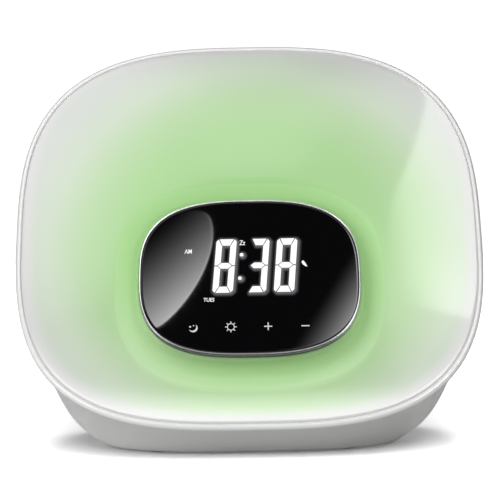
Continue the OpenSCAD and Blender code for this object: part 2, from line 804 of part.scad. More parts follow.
// Battery compartment in the floor of the casing
// A round bar of radius r along x, from x0 to x1, on the battery door's hinge line
module hinge_bar(r, x0, x1) {
    translate([x0, hinge_y, hinge_z]) rotate([0, 90, 0]) cylinder(h = x1 - x0, r = r);
}
module battery_tray() {
    floor_z = foot_h + wall;
    inside = [2 * opening_half, opening_rear - opening_front - 4];
    outside = [inside[0] + 2 * battery_wall, inside[1] + 2 * battery_wall];
    mid_y = (opening_front + opening_rear) / 2 + 2;
    lug_x = door_w / 2 - lug_w;
    color("gainsboro") translate([0, face_y, 0]) {
        difference() {
            translate([0, mid_y, 0]) {
                block([outside[0] + tray_rim_w, outside[1] + 4 + tray_rim_w, tray_rim_t], floor_z);
                block([outside[0], outside[1], battery_tray_h], floor_z);
            }
            translate([0, mid_y, 0])
                block([inside[0], inside[1], battery_tray_h - battery_wall + 1], floor_z - 1);
        }
        for (side = [-1, 1]) mirror([side < 0 ? 1 : 0, 0, 0])
            difference() {
                union() {
                    translate([lug_x, hinge_y - hinge_r, hinge_z])
                        cube([lug_w, 2 * hinge_r, floor_z - hinge_z + 0.5]);
                    hinge_bar(hinge_r, lug_x, lug_x + lug_w);
                }
                hinge_bar(hinge_pin_r + pin_fit, lug_x - 1, lug_x + lug_w + 1);
            }
    }
}
module door_hinge_pin() {
    color("silver") translate([0, face_y, 0])
        hinge_bar(hinge_pin_r, gap - door_w / 2, door_w / 2 - gap);
}
module battery_door() {
    knuckle_half = door_w / 2 - lug_w - gap;
    notch = [12, 2, 0.7];
    color("whitesmoke") translate([0, face_y, 0]) difference() {
        union() {
            translate([-door_w / 2, hinge_y + hinge_reach, foot_h])
                cube([door_w, door_l - hinge_reach, door_t]);
            translate([-knuckle_half, hinge_y, foot_h])
                cube([2 * knuckle_half, hinge_reach + 0.1, door_t]);
            hinge_bar(hinge_r, -knuckle_half, knuckle_half);
        }
        hinge_bar(hinge_pin_r + pin_fit, -knuckle_half - 1, knuckle_half + 1);
        translate([-notch[0] / 2, hinge_y + door_l - notch[1], foot_h - 1])
            cube([notch[0], notch[1] + 1, notch[2] + 1]);
    }
}
module coin_cell() {
    color("silver") translate([0, face_y + cell_y, 0]) {
        rod(cell_r, cell_z + 0.4, cell_z + cell_t);
        rod(cell_r - 1, cell_z, cell_z + 0.4);
    }
}
module battery_contacts() {
    top = foot_h + wall + battery_tray_h - battery_wall;
    color("gold") translate([0, face_y + cell_y, 0]) {
        block([5, 12, contact_t], top - contact_t);
        translate([0, -4, 0]) block([4, 2, top - cell_z - cell_t], cell_z + cell_t);
        translate([cell_r + 0.3, -3, cell_z]) cube([contact_t, 6, top - cell_z]);
    }
}

front_rim();
diffuser();
rear_shell();
reflector_tray();
led_board();
leds();
led_board_screws();
chassis_posts();
main_board();
main_board_parts();
main_board_screws();
display_housing();
display_bezel();
display_lens();
display_module();
display_board();
display_screws();
touch_pads();
display_cable();
rear_panel();
panel_screws();
speaker_grille();
speaker_basket();
speaker_cone();
speaker_magnet();
time_button();
alarm_button();
sound_button();
light_button();
button_board();
button_switches();
button_board_screws();
rear_cable();
alarm_slider();
slide_switch();
dc_jack();
dc_jack_pin();
battery_tray();
battery_contacts();
coin_cell();
battery_door();
door_hinge_pin();
foot_front_left();
foot_front_right();
foot_rear_left();
foot_rear_right();
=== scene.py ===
"""Looks of the sunrise alarm clock: shells, display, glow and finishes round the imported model."""

from math import acos, atan2, cos, hypot, pi, radians, sin, sqrt

import bmesh
import bpy
from bmesh.types import BMEdge, BMVert
from mathutils import Matrix, Vector


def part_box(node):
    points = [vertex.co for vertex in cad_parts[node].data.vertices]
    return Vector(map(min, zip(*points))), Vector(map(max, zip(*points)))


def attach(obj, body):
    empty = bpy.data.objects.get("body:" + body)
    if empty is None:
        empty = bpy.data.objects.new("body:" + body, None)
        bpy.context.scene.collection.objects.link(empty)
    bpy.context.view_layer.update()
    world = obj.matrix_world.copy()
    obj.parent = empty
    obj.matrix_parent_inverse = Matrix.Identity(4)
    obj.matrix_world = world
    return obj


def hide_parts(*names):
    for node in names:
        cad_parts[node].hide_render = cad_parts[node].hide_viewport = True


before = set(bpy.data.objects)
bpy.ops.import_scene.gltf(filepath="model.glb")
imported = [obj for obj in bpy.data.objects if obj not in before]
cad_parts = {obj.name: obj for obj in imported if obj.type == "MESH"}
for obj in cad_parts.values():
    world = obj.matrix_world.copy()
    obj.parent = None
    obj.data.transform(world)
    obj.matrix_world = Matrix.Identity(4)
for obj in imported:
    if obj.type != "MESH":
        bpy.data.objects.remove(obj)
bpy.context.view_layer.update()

MM = 0.001
TURN = 2 * pi


def shift(*offset):
    return Matrix.Translation(offset)


# Face: lean, outline powers, half sizes, and the depth of the rim behind the face's plane
LEAN = radians(23)
SQUARENESS = 2.85
SQUARENESS_LOW = 3.06
FACE_HALF = (109.3 * MM, 97.8 * MM)
RIM_DEPTH = 3.5 * MM
RIM_FALL = 2.4 * MM
RIM_WALL = 1.4 * MM
RIM_CHAMFER = 0.25 * MM
LIP_WIDTH = 2.4 * MM
LIP_ROUND = 0.5 * MM
LIP_DROP = 0.7 * MM
LIP_THICK = 1.6 * MM
LIP_LAND = 0.15 * MM

# Dome of the diffuser, and the raised seat round the display pod
DOME_INSET = 2.8 * MM
DOME_HALF = (FACE_HALF[0] - DOME_INSET, FACE_HALF[1] - DOME_INSET)
DOME_FILLET = 0.5 * MM
GROOVE_FLOOR = -1.25 * MM
DOME_EDGE = -0.3 * MM
DOME_HEIGHT = 15 * MM
DOME_POWER = 2.2
DOME_SPACING = 0.8
DIFFUSER_THICK = 2 * MM
POD_HALF = (50.2 * MM, 37.7 * MM)
POD_DROP = 32 * MM
POD_FRONT = 19.5 * MM
BEZEL_HEIGHT = 4 * MM
BEZEL_WIDTH = 1 * MM
SEAT_TOP = POD_FRONT - BEZEL_HEIGHT
SEAT_FLAT = 1.2 * MM
SEAT_FOOT = 7 * MM
SEAT_CREASE = 2.5
SEAT_EASING = 8
SEAT_HOLE = 0.7 * MM
BEAD = 0.4 * MM
BEAD_GROOVE = (0.5 * MM, 1.6 * MM)
LENS_RECESS = 0.2 * MM
LENS_THICK = 2 * MM
LENS_GAP = 0.1 * MM
LENS_GROUND = 0.25 * MM
LENS_TOP = POD_FRONT - LENS_RECESS

# Casing behind the rim
CASING_STEP = 0.8 * MM
CASING_DEPTH = 94 * MM
CASING_ROUND = 5.3
CASING_SQUARING = 0.3
SIDE_TAPER = 16 * MM
CASING_END = radians(59)
CASING_WALL = 2.3 * MM
REAR_LIP = 3.5 * MM
BASE_EDGE = 0.4 * MM
DOOR_GAP = 0.4 * MM

RING_STEPS = 192
GLASS_STEPS = 288

# Vertices nearer than this are one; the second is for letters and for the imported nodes
WELD = 0.001 * MM
LOOSE_WELD = 0.002 * MM

# The frame says where the face and the floor are
rim_low, rim_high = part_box("front_rim")
shell_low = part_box("rear_shell")[0]
FACE_Y = rim_high.y - FACE_HALF[1] * sin(LEAN) - RIM_DEPTH * cos(LEAN)
FACE_Z = rim_low.z + FACE_HALF[1] * cos(LEAN) + RIM_DEPTH * sin(LEAN)
FLOOR_Z = shell_low.z
FACE = shift(0, FACE_Y, FACE_Z) @ Matrix.Rotation(pi / 2 - LEAN, 4, "X")


# ---- shapes
def squircle(a, b, turn, power=SQUARENESS, low_power=None):
    """Point of a squircle in the direction of turn; its lower half may be squarer."""
    c, s = cos(turn), sin(turn)
    n = low_power if low_power and s < 0 else power
    reach = (abs(c / a) ** n + abs(s / b) ** n) ** (-1 / n)
    return Vector((reach * c, reach * s))


def outward(x, y, half, n):
    """0 in the middle of a squircle and 1 on its outline, for numbers and shader values."""
    return (abs(x / half[0]) ** n + abs(y / half[1]) ** n) ** (1 / n)


def face_outline(inset, height):
    """A ring round the face, as a function of the turn."""
    def point(turn):
        p = squircle(FACE_HALF[0] - inset, FACE_HALF[1] - inset, turn, low_power=SQUARENESS_LOW)
        return Vector((p.x, p.y, height))
    return point


def pod_outline(spread, height):
    """A ring round the display pod, as a function of the turn."""
    def point(turn):
        p = squircle(POD_HALF[0] + spread, POD_HALF[1] + spread, turn)
        return Vector((p.x, p.y - POD_DROP, height))
    return point


def dome_height(x, y):
    reach = outward(x, y, DOME_HALF, SQUARENESS_LOW if y < 0 else SQUARENESS)
    return DOME_EDGE + DOME_HEIGHT * (1 - reach ** DOME_POWER)


def dome_ring(share, depth=0.0, inset=DOME_INSET, drop=0.0):
    """A ring of the dome: share is 0 at its outer edge and 1 at the foot of the pod's seat."""
    edge = face_outline(inset + depth, 0)
    foot = pod_outline(SEAT_FOOT - depth, 0)
    def point(turn):
        p = edge(turn).lerp(foot(turn), share)
        return Vector((p.x, p.y, dome_height(p.x, p.y) - depth - drop))
    return point


def seat_ring(share, depth=0.0):
    """A ring of the seat's flank: share is 0 at its top edge and 1 at its foot on the dome."""
    rest = 1 - share
    rise = rest ** SEAT_CREASE * (1 + SEAT_CREASE * share * rest ** SEAT_EASING)
    around = pod_outline(SEAT_FLAT + (SEAT_FOOT - SEAT_FLAT) * share, 0)
    def point(turn):
        p = around(turn)
        low = dome_height(p.x, p.y)
        return Vector((p.x, p.y, low + (SEAT_TOP - low) * rise - depth))
    return point


def shares(count, start=0.0, end=1.0):
    return [start + (end - start) * i / count for i in range(count + 1)]


def weld(bm, dist=WELD):
    bmesh.ops.remove_doubles(bm, verts=bm.verts, dist=dist)


def only(kind, geom):
    return [g for g in geom if isinstance(g, kind)]


def loft(rings, steps=RING_STEPS, tube=False):
    """A skin over rings, each a function of the turn: one ring is extruded into the next."""
    bm = bmesh.new()
    turn = bm.verts.layers.float.new("turn")
    ring = bmesh.ops.create_circle(bm, cap_ends=False, segments=steps, radius=1)["verts"]
    for v in ring:
        v[turn] = atan2(v.co.y, v.co.x)
        v.co = rings[0](v[turn])
    edges = bm.edges[:]
    for shape in rings[1:] + (rings[:1] if tube else []):
        made = bmesh.ops.extrude_edge_only(bm, edges=edges)["geom"]
        ring = only(BMVert, made)
        new = set(ring)
        edges = [e for e in only(BMEdge, made) if new.issuperset(e.verts)]
        for v in ring:
            v.co = shape(v[turn])
    if tube:
        weld(bm)
    return bm


def face_normals_out(bm):
    bmesh.ops.recalc_face_normals(bm, faces=bm.faces)
    return bm


def lathe(profile, steps=64):
    """A turned shape from (radius, height) points; a first or last radius of 0 closes the pole."""
    bm = bmesh.new()
    verts = [bm.verts.new((r, 0, z)) for r, z in profile]
    edges = [bm.edges.new(pair) for pair in zip(verts, verts[1:])]
    bmesh.ops.spin(bm, geom=verts + edges, cent=(0, 0, 0), axis=(0, 0, 1), angle=TURN,
                   steps=steps, use_merge=True)
    weld(bm)
    return face_normals_out(bm)


def place(bm, matrix):
    bmesh.ops.transform(bm, matrix=matrix, verts=bm.verts)
    return bm


def show(obj):
    bpy.context.scene.collection.objects.link(obj)


def new_object(name, bm, finish):
    """The object of a finished bmesh, in the scene and with its material."""
    mesh = bpy.data.meshes.new(name)
    bm.to_mesh(mesh)
    bm.free()
    obj = bpy.data.objects.new(name, mesh)
    show(obj)
    mesh.materials.append(finish)
    return obj


def piece(name, bm, finish, body="clock", stands_for=(), smooth=True, sharp=35):
    """A piece of the clock, fixed to its body."""
    obj = new_object(name, bm, finish)
    if smooth:
        obj.data.shade_smooth()
        obj.data.set_sharp_from_angle(angle=radians(sharp))
    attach(obj, body)
    if stands_for:
        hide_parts(*stands_for)
    return obj


# ---- finishes
class Value:
    """A number that changes over a surface. Arithmetic on it adds Math nodes."""

    def __init__(self, finish, socket):
        self.finish = finish
        self.socket = socket

    def math(self, operation, *others):
        return self.finish.math(operation, self, *others)

    def __add__(self, other):
        return self.math("ADD", other)

    __radd__ = __add__

    def __mul__(self, other):
        return self.math("MULTIPLY", other)

    __rmul__ = __mul__

    def __sub__(self, other):
        return self.math("SUBTRACT", other)

    def __rsub__(self, other):
        return self.finish.math("SUBTRACT", other, self)

    def __truediv__(self, other):
        return self.math("DIVIDE", other)

    def __pow__(self, other):
        return self.math("POWER", other)

    def __abs__(self):
        return self.math("ABSOLUTE")

    def at_least(self, other):
        return self.math("MAXIMUM", other)

    def at_most(self, other):
        return self.math("MINIMUM", other)

    def step(self, start, end):
        """0 below start and 1 above end, with a soft ramp between."""
        return self.finish.node("ShaderNodeMapRange", {"interpolation_type": "SMOOTHSTEP"},
                                {"Value": self, "From Min": start, "From Max": end})


class Finish:
    """A material whose surface is one Principled shader."""

    def __init__(self, name):
        self.material = bpy.data.materials.new(name)
        self.material.use_nodes = True
        self.tree(self.material.node_tree)
        self.shader = self.nodes["Principled BSDF"]

    def tree(self, node_tree):
        self.nodes, self.links = node_tree.nodes, node_tree.links

    @classmethod
    def of_tree(cls, node_tree):
        """The same helpers on another node tree, such as the world's."""
        made = cls.__new__(cls)
        made.tree(node_tree)
        return made

    def node(self, kind, settings=None, inputs=None, output=0):
        """A node of that kind: first its settings, then the values or links of its sockets."""
        node = self.nodes.new(kind)
        for name, value in (settings or {}).items():
            if name == "stops":
                self.set_stops(node.color_ramp, value)
            else:
                setattr(node, name, value)
        for key, value in (inputs or {}).items():
            self.feed(node.inputs[key], value)
        return Value(self, node.outputs[output])

    @staticmethod
    def set_stops(ramp, stops):
        """The first two stops are the ramp's ends."""
        for element, (share, colour) in zip((ramp.elements[0], ramp.elements[1]), stops):
            element.position, element.color = share, (*colour, 1)
        for share, colour in stops[2:]:
            ramp.elements.new(share).color = (*colour, 1)

    def feed(self, socket, value):
        """Links a value to the socket, or sets a plain number or colour on it."""
        if isinstance(value, Value):
            self.links.new(value.socket, socket)
        elif isinstance(value, (tuple, list)) and len(value) == 3 and socket.type == "RGBA":
            socket.default_value = (*value, 1)
        else:
            socket.default_value = value

    def math(self, operation, *values):
        return self.node("ShaderNodeMath", {"operation": operation}, dict(enumerate(values)))

    def mix(self, share, first, second):
        """A colour between first and second."""
        return self.node("ShaderNodeMix", {"data_type": "RGBA"},
                         {"Factor": share, 6: first, 7: second}, output=2)

    def spot(self, matrix=None):
        """Object coordinates, seen from the frame that matrix places."""
        where = self.node("ShaderNodeTexCoord", output=3)
        if matrix is None:
            return where
        back = matrix.inverted()
        return self.node("ShaderNodeMapping", {},
                         {"Vector": where, "Location": back.translation[:],
                          "Rotation": back.to_euler()[:]})

    def axes(self, where):
        """The three coordinates of a place, as values."""
        split = self.nodes.new("ShaderNodeSeparateXYZ")
        self.links.new(where.socket, split.inputs[0])
        return [Value(self, out) for out in split.outputs]

    def noise(self, scale, detail=2.0, rough=0.5, where=None, stretch=None):
        """Soft noise over object coordinates, or over where; stretch scales its three axes."""
        where = where or self.spot()
        if stretch:
            where = self.node("ShaderNodeMapping", {}, {"Vector": where, "Scale": stretch})
        return self.node("ShaderNodeTexNoise", {},
                         {"Vector": where, "Scale": scale, "Detail": detail, "Roughness": rough})

    def bump(self, height, distance):
        return self.node("ShaderNodeBump", {}, {"Height": height, "Distance": distance})

    def surface(self, **sockets):
        """Feeds the shader's sockets, named in lower case, and gives the material."""
        for name, value in sockets.items():
            self.feed(self.shader.inputs[SOCKETS.get(name, name.replace("_", " ").title())], value)
        return self.material


# Sockets whose names aren't their keyword in title case
SOCKETS = {"ior": "IOR", "specular": "Specular IOR Level"}


def plastic(name, colour, roughness=0.3, grain=0.3, mottle=0.04, coat=0.0):
    """Moulded plastic: faint mottling, uneven gloss, and a fine orange-peel or spark grain."""
    f = Finish(name)
    cloud = f.noise(35, 3)
    shade = f.mix(cloud.step(0.35, 0.7), [c * (1 - mottle) for c in colour], colour)
    scuff = f.noise(420, 4, 0.65).step(0.55, 0.8)
    peel = f.noise(900, 2) * 0.7 + f.noise(4200, 1) * 0.3
    return f.surface(base_color=shade,
                     roughness=cloud * 0.08 + scuff * 0.05 + (roughness - 0.04),
                     normal=f.bump(peel, grain * 0.01 * MM),
                     coat_weight=coat, coat_roughness=0.08)


METAL_MOTTLE = 0.1


def scratches(f):
    return f.noise(300, 5, 0.7, stretch=(1, 1, 12))


def turned_metal(name, colour, roughness):
    """Plated or turned metal with fine scratches and a slightly uneven tint."""
    f = Finish(name)
    cloud = f.noise(60, 3)
    scratch = scratches(f)
    return f.surface(base_color=f.mix(cloud, [c * (1 - METAL_MOTTLE) for c in colour], colour),
                     metallic=1.0,
                     roughness=scratch * 0.16 + (roughness - 0.08),
                     normal=f.bump(scratch, 0.004 * MM))


# Where on the face the bezel's metal is painted darker as shade, low down and at its right
BEZEL_SHADE_LOW = (-66 * MM, -50 * MM)
BEZEL_SHADE_RIGHT = (44 * MM, 50 * MM)
BEZEL_SHADE_MOST, BEZEL_SHADE_SIDE = 0.62, 0.3


def bezel_finish():
    """Polished bead, a groove painted near black and a satin wall painted grey, both as shade, told
    apart by height over the face; painted shade also darkens the metal low down and at its right.
    """
    f = Finish("bezel_chrome")
    x, y, height = f.axes(f.spot(FACE))
    groove_low, groove_high = POD_FRONT - BEAD_GROOVE[1], POD_FRONT - BEAD_GROOVE[0]
    wall = 1 - height.step(groove_low - 0.15 * MM, groove_low - 0.05 * MM)
    bead = height.step(groove_high - 0.1 * MM, groove_high)
    scratch = scratches(f)
    # Painted shade: the groove is near black and the wall a darker grey on the one plated metal
    tint = f.mix(bead, f.mix(wall, (0.015, 0.015, 0.016), (0.34, 0.345, 0.35)),
                 (0.62, 0.625, 0.63))
    # Painted shade darkens the metal low down and at its right
    painted_bezel_shade = (1 - y.step(*BEZEL_SHADE_LOW)) * BEZEL_SHADE_MOST + x.step(*BEZEL_SHADE_RIGHT) * BEZEL_SHADE_SIDE
    tint = f.mix(painted_bezel_shade.at_most(BEZEL_SHADE_MOST), tint, (0.02, 0.02, 0.021))
    return f.surface(base_color=tint, metallic=bead.at_least(wall) * 0.9 + 0.1,
                     roughness=scratch * 0.1 + wall * 0.3 + 0.09,
                     normal=f.bump(scratch, 0.003 * MM))


def circuit(name):
    """Green solder mask over faint copper tracks."""
    f = Finish(name)
    weave = f.node("ShaderNodeTexBrick", {"offset": 0.37},
                   {"Vector": f.spot(FACE), "Scale": 160.0, "Color1": (0.02, 0.16, 0.06),
                    "Color2": (0.015, 0.11, 0.045), "Mortar": (0.03, 0.22, 0.09),
                    "Mortar Size": 0.09})
    return f.surface(base_color=weave, roughness=f.noise(300) * 0.15 + 0.28,
                     normal=f.bump(f.noise(1800), 0.01 * MM))


# Glow of the diffuser: its middle, half size and outline power, and how far out it has faded
GLOW_CENTRE = (3 * MM, -10.8 * MM)
GLOW_HALF = (80 * MM, 76.8 * MM)
GLOW_POWER = 1.9
GLOW_END = 1.42
GLOW_STRENGTH = 1.26

# The dome turns grey with a painted white light near its edge, is satin near the pod's seat, and
# has painted shade right below the pod
EDGE_GREY_AND_PAINTED_WHITE = (0.93, 0.99)
SATIN_SEAT = (0.97, 1.14)
SHADE_REACH, SHADE_RISE = (0.845, 0.93), (-68 * MM, -50 * MM)
SHADE_DEPTH = 0.42
SEAT_HALF = (POD_HALF[0] + SEAT_FOOT, POD_HALF[1] + SEAT_FOOT)

# Tint of the dome's plastic, painted green where the glow lights it, and its own light, a green
# glow in the middle and painted white light further out, from the middle of the glow outwards
DOME_TINT_PAINTED_GREEN = [(0.28, (0.38, 0.59, 0.27)), (1.0, (0.45, 0.45, 0.44)), (0.53, (0.38, 0.57, 0.28)),
             (0.70, (0.40, 0.50, 0.36)), (0.85, (0.43, 0.45, 0.42))]
DOME_GLOW_AND_PAINTED_WHITE = [(0.28, (0.004, 0.07, 0.0)), (1.0, (0.169, 0.191, 0.165)),
             (0.53, (0.025, 0.098, 0.009)), (0.70, (0.077, 0.164, 0.031)),
             (0.85, (0.151, 0.215, 0.12))]


def diffuser_finish():
    """Milky glossy dome, lit green from behind, with that green also painted into its tint and a
    painted white light at its edge; painted shade lies right below the pod.
    """
    f = Finish("lit_diffuser")
    x, y = f.axes(f.spot(FACE))[:2]
    reach = outward(x - GLOW_CENTRE[0], y - GLOW_CENTRE[1], GLOW_HALF, GLOW_POWER) / GLOW_END
    uneven = f.noise(14, 2) * 0.03 + 0.985
    # The tint ramp paints the glow's green into the plastic's colour; the light ramp's neutral
    # white further out is painted light
    tint, glow = [f.node("ShaderNodeValToRGB", {"stops": stops}, {0: reach * uneven})
                  for stops in (DOME_TINT_PAINTED_GREEN, DOME_GLOW_AND_PAINTED_WHITE)]
    # Near the edge the tint turns grey and the dome's own light turns to a painted even white light
    edge_grey_and_painted_white = outward(x, y, DOME_HALF, SQUARENESS_LOW).step(*EDGE_GREY_AND_PAINTED_WHITE)
    tint = f.mix(edge_grey_and_painted_white, tint, (0.58, 0.58, 0.575))
    glow = f.mix(edge_grey_and_painted_white, glow, (0.12, 0.121, 0.117))
    round_pod = outward(x, y + POD_DROP, SEAT_HALF, SQUARENESS)
    satin = 1 - round_pod.step(*SATIN_SEAT)
    # Painted shade right below the pod: a dark tint and no light of its own there
    shade = (1 - round_pod.step(*SHADE_REACH)) * (1 - y.step(*SHADE_RISE)) * SHADE_DEPTH
    tint, glow = f.mix(shade, tint, (0.04, 0.06, 0.03)), f.mix(shade, glow, (0, 0, 0))
    return f.surface(base_color=tint, emission_color=glow, emission_strength=GLOW_STRENGTH,
                     roughness=f.noise(25, 3) * 0.05 + satin * 0.62 + 0.06,
                     normal=f.bump(f.noise(260, 2), 0.003 * MM),
                     ior=1.49)


# The glass mirrors this share of what is straight before it
GLASS_IOR = 1.3
GLASS_MIRRORS = ((GLASS_IOR - 1) / (GLASS_IOR + 1)) ** 2


def glass_finish():
    """Black mirror glass with faint smears, and a painted glow round the display's lit marks."""
    f = Finish("black_glass")
    halo = f.node("ShaderNodeAttribute", {"attribute_name": "halo"}, output=2)
    smear = f.noise(30, 4, 0.6)
    dust = f.noise(2500, 2).step(0.72, 0.8)
    return f.surface(base_color=f.mix(dust, (0.003, 0.003, 0.0035), (0.02, 0.02, 0.02)),
                     roughness=smear * 0.03 + dust * 0.1 + 0.012,
                     # Painted glow: the glass's own light round the lit marks
                     emission_color=f.mix(halo, (0, 0, 0), (0.55, 0.56, 0.58)),
                     emission_strength=1.0, ior=GLASS_IOR)


def lit_finish(name, strength):
    """Lit segments and symbols: nearly even white light, with faint upright streaks."""
    f = Finish(name)
    streak = f.noise(420, 2, stretch=(1, 0.08, 1), where=f.spot(FACE))
    white = f.mix(streak, (0.88, 0.88, 0.88), (1.0, 1.0, 1.0))
    return f.surface(base_color=(0.02, 0.02, 0.02), roughness=f.noise(500) * 0.1 + 0.4,
                     emission_color=white, emission_strength=strength)


# Plastics: colour, roughness, depth of the grain, mottling and clear coat
WHITE_GLOSS = plastic("white_gloss_plastic", (0.76, 0.76, 0.75), 0.16, 0.25, 0.02, 0.6)
WHITE_RIM = plastic("white_rim_plastic", (0.88, 0.88, 0.875), 0.12, 0.2, 0.015, 0.8)
WHITE_PANEL = plastic("white_panel_plastic", (0.74, 0.74, 0.73), 0.42, 1.0, 0.03)
WHITE_TRAY = plastic("white_tray_plastic", (0.82, 0.82, 0.80), 0.5, 0.6, 0.03)
GREY_HOUSING = plastic("grey_housing_plastic", (0.50, 0.51, 0.51), 0.45, 0.8, 0.05)
GREY_BUTTON = plastic("grey_button_plastic", (0.55, 0.56, 0.57), 0.36, 0.6, 0.04)
GREY_GRILLE = plastic("grey_grille_plastic", (0.12, 0.12, 0.125), 0.5, 0.8, 0.08)
BLACK_PLASTIC = plastic("black_plastic", (0.02, 0.02, 0.021), 0.4, 0.7, 0.2)
CONE_PAPER = plastic("cone_paper", (0.015, 0.015, 0.015), 0.8, 3.0, 0.3)
RUBBER = plastic("foot_rubber", (0.09, 0.09, 0.092), 0.75, 2.0, 0.15)
RIBBON = plastic("ribbon_insulation", (0.72, 0.72, 0.70), 0.4, 0.3, 0.05)
MODULE_GREY = plastic("display_module_plastic", (0.05, 0.055, 0.06), 0.35, 0.3, 0.1)
CHIP_BLACK = plastic("chip_resin", (0.025, 0.025, 0.027), 0.55, 1.0, 0.15)
LED_YELLOW = plastic("led_phosphor", (0.72, 0.62, 0.10), 0.35, 0.3, 0.08)
CHROME = bezel_finish()
STEEL = turned_metal("screw_steel", (0.56, 0.56, 0.55), 0.3)
GOLD = turned_metal("contact_gold", (0.78, 0.58, 0.22), 0.28)
CELL_STEEL = turned_metal("cell_steel", (0.66, 0.66, 0.65), 0.22)
CIRCUIT = circuit("circuit_board")
DIFFUSER = diffuser_finish()
GLASS = glass_finish()
LIT = lit_finish("lit_segments", 1.08)
SYMBOL = lit_finish("lit_symbols", 0.66)
PRINT = plastic("grey_print", (0.22, 0.22, 0.23), 0.5, 0.2, 0.05)

NODE_FINISHES = {
    WHITE_TRAY: ["reflector_tray", "chassis_posts"],
    CIRCUIT: ["led_board", "main_board", "display_board", "button_board"],
    LED_YELLOW: ["leds"],
    STEEL: ["led_board_screws", "main_board_screws", "display_screws", "button_board_screws",
            "panel_screws", "door_hinge_pin", "speaker_magnet", "slide_switch", "touch_pads"],
    CHIP_BLACK: ["main_board_parts", "button_switches"],
    GREY_HOUSING: ["display_housing", "battery_tray"],
    MODULE_GREY: ["display_module"],
    RIBBON: ["display_cable", "rear_cable"],
    GREY_GRILLE: ["speaker_basket"],
    CONE_PAPER: ["speaker_cone"],
    GOLD: ["dc_jack_pin", "battery_contacts"],
    CELL_STEEL: ["coin_cell"],
    WHITE_PANEL: ["rear_panel"],
    BLACK_PLASTIC: ["dc_jack"],
}


def finish_nodes():
    """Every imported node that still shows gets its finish."""
    for finish, names in NODE_FINISHES.items():
        for name in names:
            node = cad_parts[name]
            node.data.materials.clear()
            node.data.materials.append(finish)


# ---- front
def front_rim():
    """Gloss rim: a bead that falls away in one long curve from its crown to its outer wall."""
    crown = LIP_WIDTH - LIP_ROUND - LIP_LAND
    lip = [(LIP_WIDTH - LIP_ROUND * (1 - cos(t)), -LIP_DROP * (1 - sin(t)))
           for t in shares(5, 0, pi / 2)]
    edge = [(crown * (1 - sin(t)), -RIM_FALL * (1 - cos(t)))
            for t in shares(14, 0, pi / 2)]
    back = [(0, -RIM_DEPTH + RIM_CHAMFER), (RIM_CHAMFER, -RIM_DEPTH), (RIM_WALL, -RIM_DEPTH),
            (RIM_WALL, -LIP_THICK), (LIP_WIDTH, -LIP_THICK)]
    bm = loft([face_outline(*p) for p in lip + edge + back], tube=True)
    piece("rim_ring", place(face_normals_out(bm), FACE), WHITE_RIM,
          stands_for=["front_rim"])


def diffuser():
    """Domed diffuser with the raised seat of the display pod."""
    inner = DOME_INSET + DIFFUSER_THICK
    flange, lip_side = RIM_WALL + 0.2 * MM, LIP_WIDTH + 0.06 * MM
    flange_top, flange_low = -LIP_THICK - 0.2 * MM, -RIM_DEPTH + 0.1 * MM
    rings = [pod_outline(-SEAT_HOLE, SEAT_TOP), pod_outline(SEAT_FLAT - 0.3 * MM, SEAT_TOP)]
    rings += [seat_ring(s) for s in shares(16)]
    rings += [dome_ring(1 - s ** DOME_SPACING, inset=DOME_INSET + DOME_FILLET)
              for s in shares(30)[1:]]
    rings += [dome_ring(0, inset=DOME_INSET + DOME_FILLET * (1 - sin(t)),
                        drop=DOME_FILLET * (1 - cos(t)))
              for t in shares(5, 0, pi / 2)[1:]]
    rings += [face_outline(DOME_INSET, GROOVE_FLOOR), face_outline(lip_side, GROOVE_FLOOR),
              face_outline(lip_side, flange_top), face_outline(flange, flange_top),
              face_outline(flange, flange_low), face_outline(inner, flange_low)]
    rings += [dome_ring(s, DIFFUSER_THICK) for s in shares(12)]
    rings += [seat_ring(1 - s, DIFFUSER_THICK) for s in shares(5)[1:]]
    rings += [pod_outline(-SEAT_HOLE, SEAT_TOP - DIFFUSER_THICK)]
    bm = loft(rings, tube=True)
    piece("diffuser_dome", place(face_normals_out(bm), FACE), DIFFUSER,
          stands_for=["diffuser"], sharp=50)


def display_bezel():
    """Plated bezel: a polished half-round bead, a groove below it that its finish paints dark as
    shade, and a satin wall.
    """
    front, low = POD_FRONT - 0.06 * MM, POD_FRONT - BEZEL_HEIGHT
    bead = [(-BEZEL_WIDTH + BEAD * (1 - cos(t)), front - BEAD * (1 - sin(t)))
            for t in shares(8, 0, pi)]
    groove = front - BEAD_GROOVE[1]
    profile = [(-BEZEL_WIDTH, low)] + bead
    profile += [(-0.5 * MM, front - BEAD - 0.15 * MM), (-0.5 * MM, groove),
                (-0.12 * MM, groove - 0.1 * MM), (0, groove - 0.25 * MM), (0, low + 0.3 * MM),
                (-0.15 * MM, low)]
    bm = loft([pod_outline(*p) for p in profile], tube=True)
    piece("bezel_ring", place(face_normals_out(bm), FACE), CHROME,
          stands_for=["display_bezel"], sharp=30)


# Seven-segment digits: cell and slant, strokes, and the lower right corner of each digit
DIGIT_WIDTH = 9.2 * MM
DIGIT_HEIGHT = 26 * MM
DIGIT_BASE = -40 * MM
DIGIT_SLANT = 0.084
SIDE_STROKE, TOP_STROKE, CROSS_STROKE, LOW_STROKE = 2.7 * MM, 3.1 * MM, 2.7 * MM, 2.9 * MM
DIGIT_CHAMFER = 1.2 * MM
DIGIT_GAP = 0.25 * MM
DIGIT_TIP = 1.15 * MM
DIGIT_RIGHTS = {"hour_digit": -7.7 * MM, "tens_digit": 7.25 * MM, "unit_digit": 19.9 * MM}
DIGIT_SHOWS = {"hour_digit": "abcdefg", "tens_digit": "abcdg", "unit_digit": "abcdefg"}
COLON = [(-3.5 * MM, -21.7 * MM), (-4.4 * MM, -33.1 * MM)]
COLON_RADIUS = 0.85 * MM
LIT_LOW, LIT_HIGH = LENS_TOP + 0.005 * MM, LENS_TOP + 0.03 * MM

